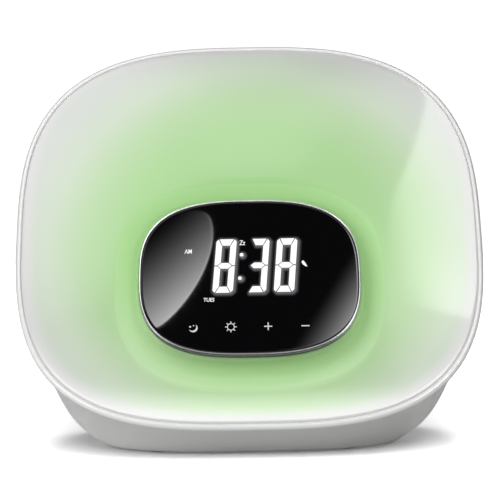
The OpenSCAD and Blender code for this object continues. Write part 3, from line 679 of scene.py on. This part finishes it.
# Painted glow on the glass round what is lit, a little to its lower right
HALO_REACH = 1.6 * MM
HALO_SHIFT = 0.45 * MM
HALO_STRENGTH = 0.3
HALO_POWER = 1.5

# Row of the four key marks, and the small marks: name, text, size, place and slant
ICON_V = -56.35 * MM
ICON_PITCH = 16.6 * MM
ICON_START = -25.3 * MM
ALARM_LEAF = [(24.0, -24.9), (24.6, -25.2), (25.3, -26.2), (26.2, -28.0), (25.1, -27.6),
              (24.1, -26.8), (23.6, -25.8)]
SMALL_WORDS = [("morning_mark", "AM", (3.4 * MM, 2.2 * MM), -27.7 * MM, -19.7 * MM, 0.08),
               ("weekday_mark", "TUES", (4.8 * MM, 1.8 * MM), -18.4 * MM, -43.3 * MM, 0.08),
               ("snooze_mark", "Zz", (2.7 * MM, 2.3 * MM), -3.1 * MM, -15.8 * MM, 0.1)]


def segment_corners():
    """The corners of the seven segments in their cell, mitred against one another."""
    w, h, mid, gap = DIGIT_WIDTH, DIGIT_HEIGHT, DIGIT_HEIGHT / 2, DIGIT_GAP
    side, cross = SIDE_STROKE, CROSS_STROKE / 2

    def end_bar(thick):
        return [(DIGIT_CHAMFER + gap, h), (w - DIGIT_CHAMFER - gap, h),
                (w - side - gap, h - thick), (side + gap, h - thick)]

    def upright(thick):
        return [(0, h - DIGIT_CHAMFER), (DIGIT_CHAMFER - gap, h - gap / 2),
                (side, h - thick - gap), (side, mid + cross + gap), (DIGIT_TIP, mid + gap),
                (0, mid + gap)]

    def flip_x(points):
        return [(w - x, y) for x, y in points]

    def flip_y(points):
        return [(x, h - y) for x, y in points]

    across = [(DIGIT_TIP + gap, mid), (side + gap, mid + cross), (w - side - gap, mid + cross),
              (w - DIGIT_TIP - gap, mid), (w - side - gap, mid - cross),
              (side + gap, mid - cross)]
    top, low = upright(TOP_STROKE), flip_y(upright(LOW_STROKE))
    return {"a": end_bar(TOP_STROKE), "d": flip_y(end_bar(LOW_STROKE)), "g": across,
            "f": top, "b": flip_x(top), "e": low, "c": flip_x(low)}


def digit_polygons(name):
    """The lit segments of a digit, as outlines on the glass."""
    left = DIGIT_RIGHTS[name] - DIGIT_WIDTH
    corners = segment_corners()
    return [[(left + x + y * DIGIT_SLANT, DIGIT_BASE + y) for x, y in corners[k]]
            for k in DIGIT_SHOWS[name]]


def thin_plates(polygons):
    """Thin plates of those outlines, on the glass."""
    bm = bmesh.new()
    for points in polygons:
        face = bm.faces.new([bm.verts.new((x, y, LIT_LOW)) for x, y in points])
        raised = bmesh.ops.extrude_face_region(bm, geom=[face], use_keep_orig=True)["geom"]
        bmesh.ops.translate(bm, vec=(0, 0, LIT_HIGH - LIT_LOW),
                            verts=only(BMVert, raised))
    return face_normals_out(bm)


def glass_mark(name, bm, finish=LIT, lift=0.0):
    """A lit mark on the glass; lift raises one that is centred on height 0."""
    piece(name, place(bm, FACE @ shift(0, 0, lift)), finish,
          smooth=False)


def disc_points(x, y, radius, steps=28):
    return [(x + radius * cos(TURN * i / steps), y + radius * sin(TURN * i / steps))
            for i in range(steps)]


def bar_points(x, y, length, width, turn=0.0):
    c, s = cos(turn), sin(turn)
    corners = [(-length, -width), (length, -width), (length, width), (-length, width)]
    return [(x + (i * c - j * s) / 2, y + (i * s + j * c) / 2) for i, j in corners]


def lens_glass():
    """Display glass with a ground edge; its halo says how strongly a painted glow lights it round
    the lit marks.
    """
    inset = BEZEL_WIDTH + LENS_GAP
    low = LENS_TOP - LENS_THICK
    ground = LENS_GROUND
    rings = [pod_outline(-inset, low), pod_outline(-inset, LENS_TOP - ground),
             pod_outline(-inset - ground * 0.3, LENS_TOP - ground * 0.3),
             pod_outline(-inset - ground, LENS_TOP)]
    edge = POD_HALF[0] - inset - ground
    rings += [shrunk_pod(-inset - ground, share) for share in shares(72, 1, 0)[1:]]
    bm = loft([shrunk_pod(-inset, 0, low)] + rings, GLASS_STEPS)
    weld(bm)
    face_normals_out(bm)
    lit = [p for name in DIGIT_RIGHTS for p in digit_polygons(name)]
    halo = bm.verts.layers.float.new("halo")
    for v in bm.verts:
        if v.co.z > LENS_TOP - ground and abs(v.co.x) < edge:
            v[halo] = halo_at(v.co.x - HALO_SHIFT, v.co.y + HALO_SHIFT, lit)
    piece("display_glass", place(bm, FACE), GLASS, stands_for=["display_lens"],
          sharp=30)


def shrunk_pod(spread, share, height=LENS_TOP):
    """The pod's outline shrunk about its own centre to a share of its size."""
    whole = pod_outline(spread, height)
    centre = Vector((0, -POD_DROP, height))
    return lambda turn: centre.lerp(whole(turn), share)


def halo_at(x, y, polygons):
    """Strength of the painted glow round the lit segments and the colon."""
    nearest = min(distance_to(x, y, points, HALO_REACH) for points in polygons)
    for cx, cy in COLON:
        nearest = min(nearest, max(0.0, hypot(x - cx, y - cy) - COLON_RADIUS))
    return HALO_STRENGTH * max(0.0, 1 - nearest / HALO_REACH) ** HALO_POWER


def distance_to(x, y, points, far):
    """Distance from a point to an outline's edges, or far where its box is farther than that."""
    xs, ys = [p[0] for p in points], [p[1] for p in points]
    if x < min(xs) - far or x > max(xs) + far or y < min(ys) - far or y > max(ys) + far:
        return far
    near = far
    for (ax, ay), (bx, by) in zip(points, points[1:] + points[:1]):
        dx, dy = bx - ax, by - ay
        t = max(0.0, min(1.0, ((x - ax) * dx + (y - ay) * dy) / (dx * dx + dy * dy)))
        near = min(near, hypot(x - ax - t * dx, y - ay - t * dy))
    return near


def words(name, text, size, x, y, shear=0.0, weight=0.0):
    """A word of that width and height as a bmesh, centred on x and y."""
    curve = bpy.data.curves.new(name, "FONT")
    curve.body = text
    curve.size = size[1]
    curve.shear = shear
    curve.offset = weight
    curve.extrude = (LIT_HIGH - LIT_LOW) / 2
    holder = bpy.data.objects.new(name, curve)
    show(holder)
    mesh = holder.to_mesh()
    bm = bmesh.new()
    bm.from_mesh(mesh)
    holder.to_mesh_clear()
    bpy.data.objects.remove(holder)
    bpy.data.curves.remove(curve)
    weld(bm, LOOSE_WELD)
    xs, ys = [v.co.x for v in bm.verts], [v.co.y for v in bm.verts]
    bmesh.ops.translate(bm, vec=(-(min(xs) + max(xs)) / 2, -(min(ys) + max(ys)) / 2, 0),
                        verts=bm.verts)
    bmesh.ops.scale(bm, vec=(size[0] / (max(xs) - min(xs)), size[1] / (max(ys) - min(ys)), 1),
                    verts=bm.verts)
    return place(bm, shift(x, y, 0))


def moon_points():
    """Crescent: the outer circle less a circle up and to the left of it."""
    x, y, big, small = ICON_START - 0.15 * MM, ICON_V - 0.3 * MM, 1.95 * MM, 1.85 * MM
    offset, tilt = 0.8 * MM, radians(128)
    ox, oy = x + offset * cos(tilt), y + offset * sin(tilt)
    half_out = acos((big ** 2 + offset ** 2 - small ** 2) / (2 * big * offset))
    half_in = acos((small ** 2 + offset ** 2 - big ** 2) / (-2 * small * offset))
    steps = 22
    outer = [(x + big * cos(tilt + a), y + big * sin(tilt + a))
             for a in shares(steps, half_out, TURN - half_out)]
    inner = [(ox + small * cos(tilt + a), oy + small * sin(tilt + a))
             for a in shares(steps, TURN - half_in, half_in)]
    return outer + inner[1:-1]


def touch_icons():
    """Moon, sun, plus and minus over the touch keys."""
    x = [ICON_START + ICON_PITCH * i for i in range(4)]
    moon = [moon_points(), disc_points(x[0] - 1.54 * MM, ICON_V + 0.35 * MM, 0.42 * MM),
            disc_points(x[0], ICON_V + 0.85 * MM, 0.28 * MM)]
    rays = [bar_points(x[1] + 2.1 * MM * cos(TURN * i / 8),
                       ICON_V + 2.1 * MM * sin(TURN * i / 8),
                       0.9 * MM, 0.42 * MM, TURN * i / 8) for i in range(8)]
    plus = [bar_points(x[2], ICON_V, 3.6 * MM, 0.5 * MM),
            bar_points(x[2], ICON_V + 1.025 * MM, 0.5 * MM, 1.55 * MM),
            bar_points(x[2], ICON_V - 1.025 * MM, 0.5 * MM, 1.55 * MM)]
    minus = [bar_points(x[3], ICON_V, 3.6 * MM, 0.5 * MM)]
    for name, polygons in (("moon_symbol", moon), ("plus_symbol", plus), ("minus_symbol", minus)):
        glass_mark(name, thin_plates(polygons), SYMBOL)
    sun = thin_plates(rays)
    inner, outer = 1.35 * MM, 1.7 * MM
    ring = lathe([(inner, LIT_LOW), (outer, LIT_LOW), (outer, LIT_HIGH), (inner, LIT_HIGH),
                  (inner, LIT_LOW)], 40)
    place(ring, shift(x[1], ICON_V, 0))
    join(sun, ring)
    glass_mark("sun_symbol", sun, SYMBOL)


def join(bm, other):
    """Adds another bmesh to bm."""
    mesh = bpy.data.meshes.new("part")
    other.to_mesh(mesh)
    other.free()
    bm.from_mesh(mesh)
    bpy.data.meshes.remove(mesh)


def display_marks():
    """Time, colon and the small marks of the display."""
    for name in DIGIT_RIGHTS:
        glass_mark(name, thin_plates(digit_polygons(name)))
    glass_mark("colon_dots", thin_plates([disc_points(x, y, COLON_RADIUS) for x, y in COLON]))
    glass_mark("alarm_mark", thin_plates([[(x * MM, y * MM) for x, y in ALARM_LEAF]]))
    for name, *settings in SMALL_WORDS:
        glass_mark(name, words(name, *settings, weight=0.015 * MM),
                   lift=(LIT_LOW + LIT_HIGH) / 2)


# ---- casing and rear
def casing_ring(psi, shrink=0.0):
    """A ring of the casing at station psi, 0 at the rim, as a function of the turn."""
    q = squircle(1, 1, psi, CASING_ROUND)
    b = FACE_HALF[1] - CASING_STEP
    top, low = b * sqrt(1 - q.y ** 2) - shrink, -b * q.x + shrink
    half = (FACE_HALF[0] - CASING_STEP) * q.x - SIDE_TAPER * q.y * (1 - q.y ** 2) - shrink
    height = -RIM_DEPTH - CASING_DEPTH * q.y
    powers = [n + CASING_SQUARING * q.y for n in (SQUARENESS, SQUARENESS_LOW)]
    def point(turn):
        p = squircle(half, (top - low) / 2, turn, *powers)
        return Vector((p.x, p.y + (top + low) / 2, height))
    return point


def casing():
    """One-piece casing: a loft from the rim to the rear opening, cut flat along the floor."""
    rings = [casing_ring(psi) for psi in shares(40, 0, CASING_END)]
    rings += [casing_ring(CASING_END, REAR_LIP * s) for s in (0.5, 1)]
    bm = place(loft(rings), FACE)
    cut = bmesh.ops.bisect_plane(bm, geom=bm.verts[:] + bm.edges[:] + bm.faces[:],
                                 plane_co=(0, 0, FLOOR_Z), plane_no=(0, 0, -1),
                                 clear_outer=True)["geom_cut"]
    bmesh.ops.contextual_create(bm, geom=only(BMEdge, cut))
    face_normals_out(bm)
    low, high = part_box("battery_door")
    walls = [((low.x - DOOR_GAP, 0, 0), (-1, 0, 0)), ((high.x + DOOR_GAP, 0, 0), (1, 0, 0)),
             ((0, low.y - DOOR_GAP, 0), (0, -1, 0)), ((0, high.y + DOOR_GAP, 0), (0, 1, 0))]

    def near_floor():
        return [f for f in bm.faces if f.calc_center_median().z < FLOOR_Z + MM]

    for co, no in walls:
        geom = [f for f in near_floor() if abs(f.normal.z) > 0.99]
        geom += list({e for f in geom for e in f.edges}) + list({v for f in geom for v in f.verts})
        bmesh.ops.bisect_plane(bm, geom=geom, plane_co=co, plane_no=no)
    hole = [f for f in near_floor()
            if all(Vector(no).dot(f.calc_center_median() - Vector(co)) < 0 for co, no in walls)]
    bmesh.ops.delete(bm, geom=hole, context="FACES")

    def on_floor(part):
        return all(v.co.z < FLOOR_Z + 0.01 * MM for v in part.verts)

    base = [e for e in bm.edges
            if len(e.link_faces) == 2 and e.calc_face_angle(0) > 0.02 and on_floor(e)]
    bmesh.ops.bevel(bm, geom=base, offset=BASE_EDGE, segments=2, profile=0.5,
                    affect="EDGES", material=-1)
    bmesh.ops.dissolve_degenerate(bm, dist=0.05 * MM, edges=bm.edges)
    face_normals_out(bm)
    # The flat faces get corners in whole micrometres and start at a fixed one, so that each run
    # splits them into the same triangles
    for v in bm.verts:
        if v.co.z < FLOOR_Z + 0.01 * MM:
            v.co = [round(c, 6) for c in v.co]
    for face in [f for f in bm.faces if on_floor(f)]:
        ring = face.verts[:]
        first = ring.index(min(ring, key=lambda v: v.co.x + 2 * v.co.y))
        bm.faces.remove(face)
        bm.faces.new(ring[first:] + ring[:first])
    shell = piece("casing_shell", bm, WHITE_GLOSS, stands_for=["rear_shell"],
                  sharp=32)
    wall = shell.modifiers.new("wall", "SOLIDIFY")
    wall.thickness = CASING_WALL
    wall.offset = -1
    wall.thickness_clamp = 2


SHARP = 30

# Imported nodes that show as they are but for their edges: finish, width, body, slot, segments
SOFTENED = [
    ("battery_door", WHITE_PANEL, 0.25 * MM, "battery_door", "casing_white", 2),
    ("rear_panel", WHITE_PANEL, 0.25 * MM, "clock", "panel_white", 2),
    ("speaker_grille", GREY_GRILLE, 0.12 * MM, "clock", "grille_grey", 1),
    ("dc_jack", BLACK_PLASTIC, 0.2 * MM, "clock", "jack_black", 2),
    ("panel_screws", STEEL, 0.12 * MM, "clock", "screw_steel", 1),
    ("alarm_slider", GREY_BUTTON, 0.15 * MM, "alarm_slider", "button_grey", 2),
]


def softened(node, finish, width, body, slot, segments):
    """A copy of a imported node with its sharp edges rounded, which stands for the node."""
    bm = bmesh.new()
    bm.from_mesh(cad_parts[node].data)
    weld(bm, LOOSE_WELD)
    bmesh.ops.dissolve_limit(bm, angle_limit=radians(1), verts=bm.verts, edges=bm.edges,
                             delimit={"NORMAL"})
    obj = piece(node + "_moulding", bm, finish, body, [node], sharp=SHARP)
    soft = obj.modifiers.new("soft_edges", "BEVEL")
    soft.width = width
    soft.segments = segments
    soft.limit_method = "ANGLE"
    soft.angle_limit = radians(SHARP)
    soft.harden_normals = True


def feet():
    """Rubber feet: discs with a rounded lower edge and a shallow ring moulded into the sole."""
    for name in ("foot_front_left", "foot_front_right", "foot_rear_left", "foot_rear_right"):
        low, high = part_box(name)
        r, h = (high.x - low.x) / 2, high.z - low.z
        sole = [(0, 0.25 * MM), (r - 2.6 * MM, 0.25 * MM), (r - 2.2 * MM, 0), (r - 0.9 * MM, 0)]
        edge = [(r - 0.9 * MM + 0.6 * MM * sin(t), 0.6 * MM * (1 - cos(t)))
                for t in shares(4, 0, pi / 2)[1:]]
        bm = lathe(sole + edge + [(r, h), (0, h)], 48)
        middle = shift((low.x + high.x) / 2, (low.y + high.y) / 2, low.z)
        piece(name + "_pad", place(bm, middle), RUBBER, stands_for=[name])


def panel_frame():
    """Frame of the rear panel: x to the right as seen from behind, z outwards."""
    low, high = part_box("speaker_grille")
    middle = FACE.inverted() @ ((low + high) / 2)
    origin = Vector((0, middle.y - 8 * MM, middle.z - 0.7 * MM))
    return FACE @ Matrix.Translation(origin) @ Matrix.Rotation(pi, 4, "Y")


PANEL = panel_frame()
BUTTONS = {"time_button": -25.5 * MM, "alarm_button": -8.5 * MM, "sound_button": 8.5 * MM,
           "light_button": 25.5 * MM}
BUTTON_V = -22 * MM


def push_buttons():
    """Round push buttons with a dished cap; the flange behind the panel keeps them in."""
    r, proud, flange, panel = 4.5 * MM, 1.4 * MM, 1.1 * MM, 2.4 * MM
    for name, x in BUTTONS.items():
        crown = [(r * share, proud - sag * MM)
                 for share, sag in ((0, 0.35), (0.35, 0.31), (0.6, 0.2), (0.78, 0.05))]
        shoulder = [(r - 0.6 * MM * (1 - sin(t)), proud - 0.6 * MM * (1 - cos(t)))
                    for t in shares(5, 0, pi / 2)]
        skirt = [(r, -panel - 0.1 * MM), (r + flange, -panel - 0.1 * MM),
                 (r + flange, -panel - 1.3 * MM), (1.5 * MM, -panel - 1.3 * MM),
                 (1.5 * MM, -5.6 * MM), (0, -5.6 * MM)]
        bm = lathe(crown + shoulder + skirt, 56)
        place(bm, PANEL @ shift(x, BUTTON_V, 0))
        piece(name + "_cap", bm, GREY_BUTTON, name, [name])


# Printed words: text, width, and place on the panel in millimetres
WORD_HEIGHT = 1.9 * MM
PANEL_WORDS = [("time_print", "TIME", 5.2, -25.5, -29.6), ("alarm_print", "ALARM", 7, -8.5, -29.6),
               ("sound_print", "SOUND", 7, 8.5, -29.6), ("light_print", "LIGHT", 6.2, 25.5, -29.6),
               ("on_print", "ON", 3, -40, 11.6), ("off_print", "OFF", 4, -40, -4.8),
               ("inlet_print", "DC 5V", 6, 40, -3.6)]


def panel_words():
    """Grey printed words beside the buttons, the switch and the inlet."""
    for name, text, width, x, y in PANEL_WORDS:
        bm = words(name, text, (width * MM, WORD_HEIGHT), x * MM, y * MM)
        piece(name, place(bm, PANEL @ shift(0, 0, 0.02 * MM)), PRINT,
              smooth=False)


# ---- studio
FLOOR_TONE, BOUNCE_TONE = 0.9, 0.8


def shine_on(obj, names, state="INCLUDE"):
    """The light or card shines on those objects only, or on all but those."""
    group = bpy.data.collections.new(obj.name + "_receivers")
    for name in names:
        group.objects.link(bpy.data.objects[name])
    for link in group.collection_objects:
        link.light_linking.link_state = state
    obj.light_linking.receiver_collection = group


def flat_stage(name, bm, material):
    obj = new_object(name, bm, material)
    return obj


def stage_floor(name, height, tone, for_camera):
    """One of two floors: the camera sees the first, and only bounced light the second."""
    bm = bmesh.new()
    bmesh.ops.create_grid(bm, x_segments=2, y_segments=2, size=6)
    place(bm, shift(0, 0, height))
    material = Finish(name).surface(base_color=(tone, tone, tone), roughness=0.9, specular=0.0)
    floor = flat_stage(name, bm, material)
    floor.visible_camera = for_camera
    floor.visible_diffuse = floor.visible_glossy = floor.visible_shadow = not for_camera


def reflected_card(name, corners, radiance, *shows_on):
    """A softbox seen only in the gloss of some pieces; radiance gives its light at a spot."""
    bm = bmesh.new()
    bm.faces.new([bm.verts.new(p) for p in corners])
    f = Finish(name)
    f.nodes.remove(f.shader)
    glow = f.nodes.new("ShaderNodeEmission")
    f.feed(glow.inputs["Strength"], radiance(f))
    clear = f.nodes.new("ShaderNodeBsdfTransparent")
    both = f.nodes.new("ShaderNodeAddShader")
    f.links.new(glow.outputs[0], both.inputs[0])
    f.links.new(clear.outputs[0], both.inputs[1])
    f.links.new(both.outputs[0], f.nodes["Material Output"].inputs["Surface"])
    card = flat_stage(name, bm, f.material)
    card.visible_camera = card.visible_diffuse = card.visible_shadow = False
    shine_on(card, shows_on)


# What the glass mirrors: a card over the face, drawn from the spot of the glass that shows it
EYE_FOOT = -297.7 * MM
EYE_RISE = 0.669
CARD_RISE = 0.3
CARD_SCALE = (EYE_RISE + CARD_RISE) / EYE_RISE


def over_glass(x, y):
    """The place on the card that is mirrored at x, y of the glass, in world space."""
    return FACE @ Vector((x * CARD_SCALE, EYE_FOOT + (y - EYE_FOOT) * CARD_SCALE,
                          LENS_TOP + CARD_RISE))


def glass_spot(f):
    """Where on the glass a spot of the card is mirrored, in millimetres."""
    x, y = f.axes(f.spot(FACE))[:2]
    return x * (1000 / CARD_SCALE), (y - EYE_FOOT) * (1000 / CARD_SCALE) + EYE_FOOT * 1000


def grey_level(level):
    """Radiance that the glass shows as that grey level of the finished picture."""
    return (level * (1 / 255)).at_least(0.0) ** 2.2 * (1 / GLASS_MIRRORS)


# What the glass shows, in millimetres and grey levels: the oblong, its crop, and the far wall
OBLONG_X, OBLONG_Y, OBLONG_HALF = -61.3, -27.7, (50.6, 35.3)
OBLONG_POWER, OBLONG_TURN = 1.63, 0.531
OBLONG_MOST, OBLONG_RIM = 178, 30
CROP_HALF = (POD_HALF[0] / MM - 1.4, POD_HALF[1] / MM - 1.4)
CROP_POWER = 22
WALL_TILT, WALL_RISE, WALL_MOST = (0.852, -0.524), 8.2, 130.0


def glass_light(f):
    """A window's bright oblong, lightest at its lower right, and a pale wall to the far right."""
    x, y = glass_spot(f)
    level = 33 + (x + 36) * 3.17 - (y + 10) * 3.4
    c, s = cos(OBLONG_TURN), sin(OBLONG_TURN)
    along = (x - OBLONG_X) * c + (y - OBLONG_Y) * s
    across = (y - OBLONG_Y) * c - (x - OBLONG_X) * s
    oblong = outward(along, across, OBLONG_HALF, OBLONG_POWER)
    pod = outward(x + 1.6, y + POD_DROP / MM + 1.2, CROP_HALF, SQUARENESS)
    reach = (oblong ** CROP_POWER + pod ** CROP_POWER) ** (1 / CROP_POWER)
    inside = 1 - reach.step(0.985, 1.0)
    edge = oblong.step(0.965, 0.99) * OBLONG_RIM
    window = grey_level(level.at_most(OBLONG_MOST) + edge) * inside
    far = (x - 24) * WALL_TILT[0] + (y + 56) * WALL_TILT[1]
    return window + grey_level((far * WALL_RISE).at_most(WALL_MOST))


def side_window(f):
    """A tall window on the right, with a paler band along its frame."""
    return f.axes(f.spot())[1].step(-1.0, -0.6) * 3.8 + 0.3


SIDE_WINDOW_X = 0.6
SIDE_WINDOW = [(-0.207, 1.281), (-0.28, 1.226), (-0.445, 1.118), (-0.575, 1.064),
               (-0.711, 1.052), (-0.902, 1.079), (-1.0, 0.943), (-1.033, 0.755),
               (-0.757, 0.583), (-0.525, 0.433), (0.3, 0.35), (0.35, 1.3)]


def light(name, kind, spot, aim, energy, size, shines_on=()):
    """A light that shows in no reflection; it shines on those pieces, or on all but the floor."""
    data = bpy.data.lights.new(name, kind)
    data.energy = energy
    data.use_shadow = name != "floor_fill"
    if kind == "SUN":
        data.angle = radians(size)
    else:
        data.shape = "RECTANGLE"
        data.size, data.size_y = size
    obj = bpy.data.objects.new(name, data)
    obj.location = spot
    obj.rotation_mode = "QUATERNION"
    obj.rotation_quaternion = (Vector(aim) - Vector(spot)).to_track_quat("-Z", "Y")
    obj.visible_glossy = False
    show(obj)
    shine_on(obj, shines_on or ["floor_seen"], "INCLUDE" if shines_on else "EXCLUDE")


# Name, kind, place, aim, strength, size or angle, and the pieces it shines on
LIGHTS = [
    ("front_low", "AREA", (0.2, -2.2, 0.3), (0, 0, 0.1), 19.2, (2.4, 0.6)),
    ("left_window", "AREA", (-1.1, -1.4, 0.9), (0, 0, 0.1), 9.9, (0.6, 0.6)),
    ("left_fill", "AREA", (-1.5, -1.0, 0.7), (0, 0, 0.1), 4.4, (0.6, 0.6)),
    ("back_fill", "AREA", (0.3, 2.2, 1.2), (0, 0, 0.1), 15, (1.6, 1.2)),
    ("rear_left", "AREA", (-1.7, 1.3, 0.9), (0, 0, 0.1), 5, (0.8, 0.8)),
    ("rear_right", "AREA", (1.7, 1.3, 0.9), (0, 0, 0.1), 5, (0.8, 0.8)),
    ("casing_left", "AREA", (-1.3, -1.3, 0.1), (0, 0, 0.03), 2, (0.6, 0.15), ("casing_shell",)),
    ("rim_low", "AREA", (0, -1.5, 0.1), (0, 0, 0.03), 1, (1.6, 0.15), ("rim_ring",)),
    ("floor_front", "SUN", (0, -1.6, 1), (0, 0, 0), 4.9, 22, ("floor_seen",)),
    ("floor_top", "SUN", (0, -0.1, 1), (0, 0, 0), 1.35, 14, ("floor_seen",)),
    ("floor_fill", "SUN", (0, 0, 2), (0, 0.05, 0), 0.5, 14, ("floor_seen",)),
]

# Radiance of the room for all but gloss, and of the white that the camera sees
ROOM = 0.17
BACKDROP = 1.06

# Card that the glass mirrors, in millimetres over the glass
GLASS_CARD = [(-120, 30), (120, 30), (120, -90), (-120, -90)]


def studio():
    """White room: low front light, weak light from above, soft fills and a white backdrop."""
    stage_floor("floor_seen", 0, FLOOR_TONE, True)
    stage_floor("floor_bounce", -0.01 * MM, BOUNCE_TONE, False)
    for settings in LIGHTS:
        light(*settings)
    corners = [over_glass(x * MM, y * MM) for x, y in GLASS_CARD]
    reflected_card("glass_card", corners, glass_light, "display_glass")
    corners = [(SIDE_WINDOW_X, y, z) for y, z in SIDE_WINDOW]
    reflected_card("side_card", corners, side_window, "diffuser_dome")
    surroundings()
    bpy.context.scene.view_settings.view_transform = "Standard"


# What gloss mirrors of the room: direction (azimuth from the front, elevation), the angles
# at which each lobe ends and starts to fade, and its radiance
UPPER_LEFT = (-45, 60, 34, 12, 3.2)
UPPER_RIGHT = (40, 50, 34, 12, 2.6)
RIGHT_WINDOW = (35, 25, 22, 8, 1.8)

# A bright band, outside the first cone and inside the second; the third cone is dark
ARCH = (0, 46, 43, 36, 8.1)
ARCH_SPREAD = (0, 0, 55, 30)
GLASS_CONE = (0, 44.5, 10, 7)


def surroundings():
    """The world: white behind the clock, a room of soft lobes in its gloss, dim for the rest."""
    world = bpy.data.worlds.new("studio")
    bpy.context.scene.world = world
    world.use_nodes = True
    f = Finish.of_tree(world.node_tree)
    where = f.node("ShaderNodeTexCoord")

    def background(strength):
        made = f.nodes.new("ShaderNodeBackground")
        made.inputs["Color"].default_value = (1, 1, 1, 1)
        f.feed(made.inputs["Strength"], strength)
        return Value(f, made.outputs[0])

    def choose(share, first, second):
        return f.node("ShaderNodeMixShader", {}, {0: share, 1: first, 2: second})

    def lobe(azimuth, elevation, outer, inner):
        turn, rise = radians(azimuth), radians(elevation)
        aim = (sin(turn) * cos(rise), -cos(turn) * cos(rise), sin(rise))
        near = f.node("ShaderNodeVectorMath", {"operation": "DOT_PRODUCT"}, {0: where, 1: aim},
                      output=1)
        return near.step(cos(radians(outer)), cos(radians(inner)))

    room = (1 - lobe(*ARCH[:4])) * lobe(*ARCH_SPREAD) * ARCH[4]
    for *shape, strength in (UPPER_LEFT, UPPER_RIGHT, RIGHT_WINDOW):
        room = room + lobe(*shape) * strength
    room = room * (1 - lobe(*GLASS_CONE))
    path = f.nodes.new("ShaderNodeLightPath")
    mirrored = choose(Value(f, path.outputs["Is Glossy Ray"]), background(ROOM), background(room))
    seen = choose(Value(f, path.outputs["Is Camera Ray"]), mirrored, background(BACKDROP))
    f.feed(f.nodes["World Output"].inputs["Surface"], seen)


CAMERA_DISTANCE = 0.75
CAMERA_HEIGHT = 0.1012
CAMERA_ROLL = radians(0.93)
CAMERA_LENS = 114.9
CAMERA_SHIFT = (0.002, -0.0236)


def camera():
    data = bpy.data.cameras.new("camera")
    data.lens = CAMERA_LENS
    data.sensor_width = 36
    data.shift_x, data.shift_y = CAMERA_SHIFT
    obj = bpy.data.objects.new("camera", data)
    obj.location = (0, FACE_Y - CAMERA_DISTANCE, CAMERA_HEIGHT)
    obj.rotation_euler = (pi / 2, CAMERA_ROLL, 0)
    show(obj)
    bpy.context.scene.camera = obj


camera()
finish_nodes()
panel_words()
front_rim()
diffuser()
display_bezel()
lens_glass()
display_marks()
touch_icons()
casing()
feet()
push_buttons()
for settings in SOFTENED:
    softened(*settings)
studio()
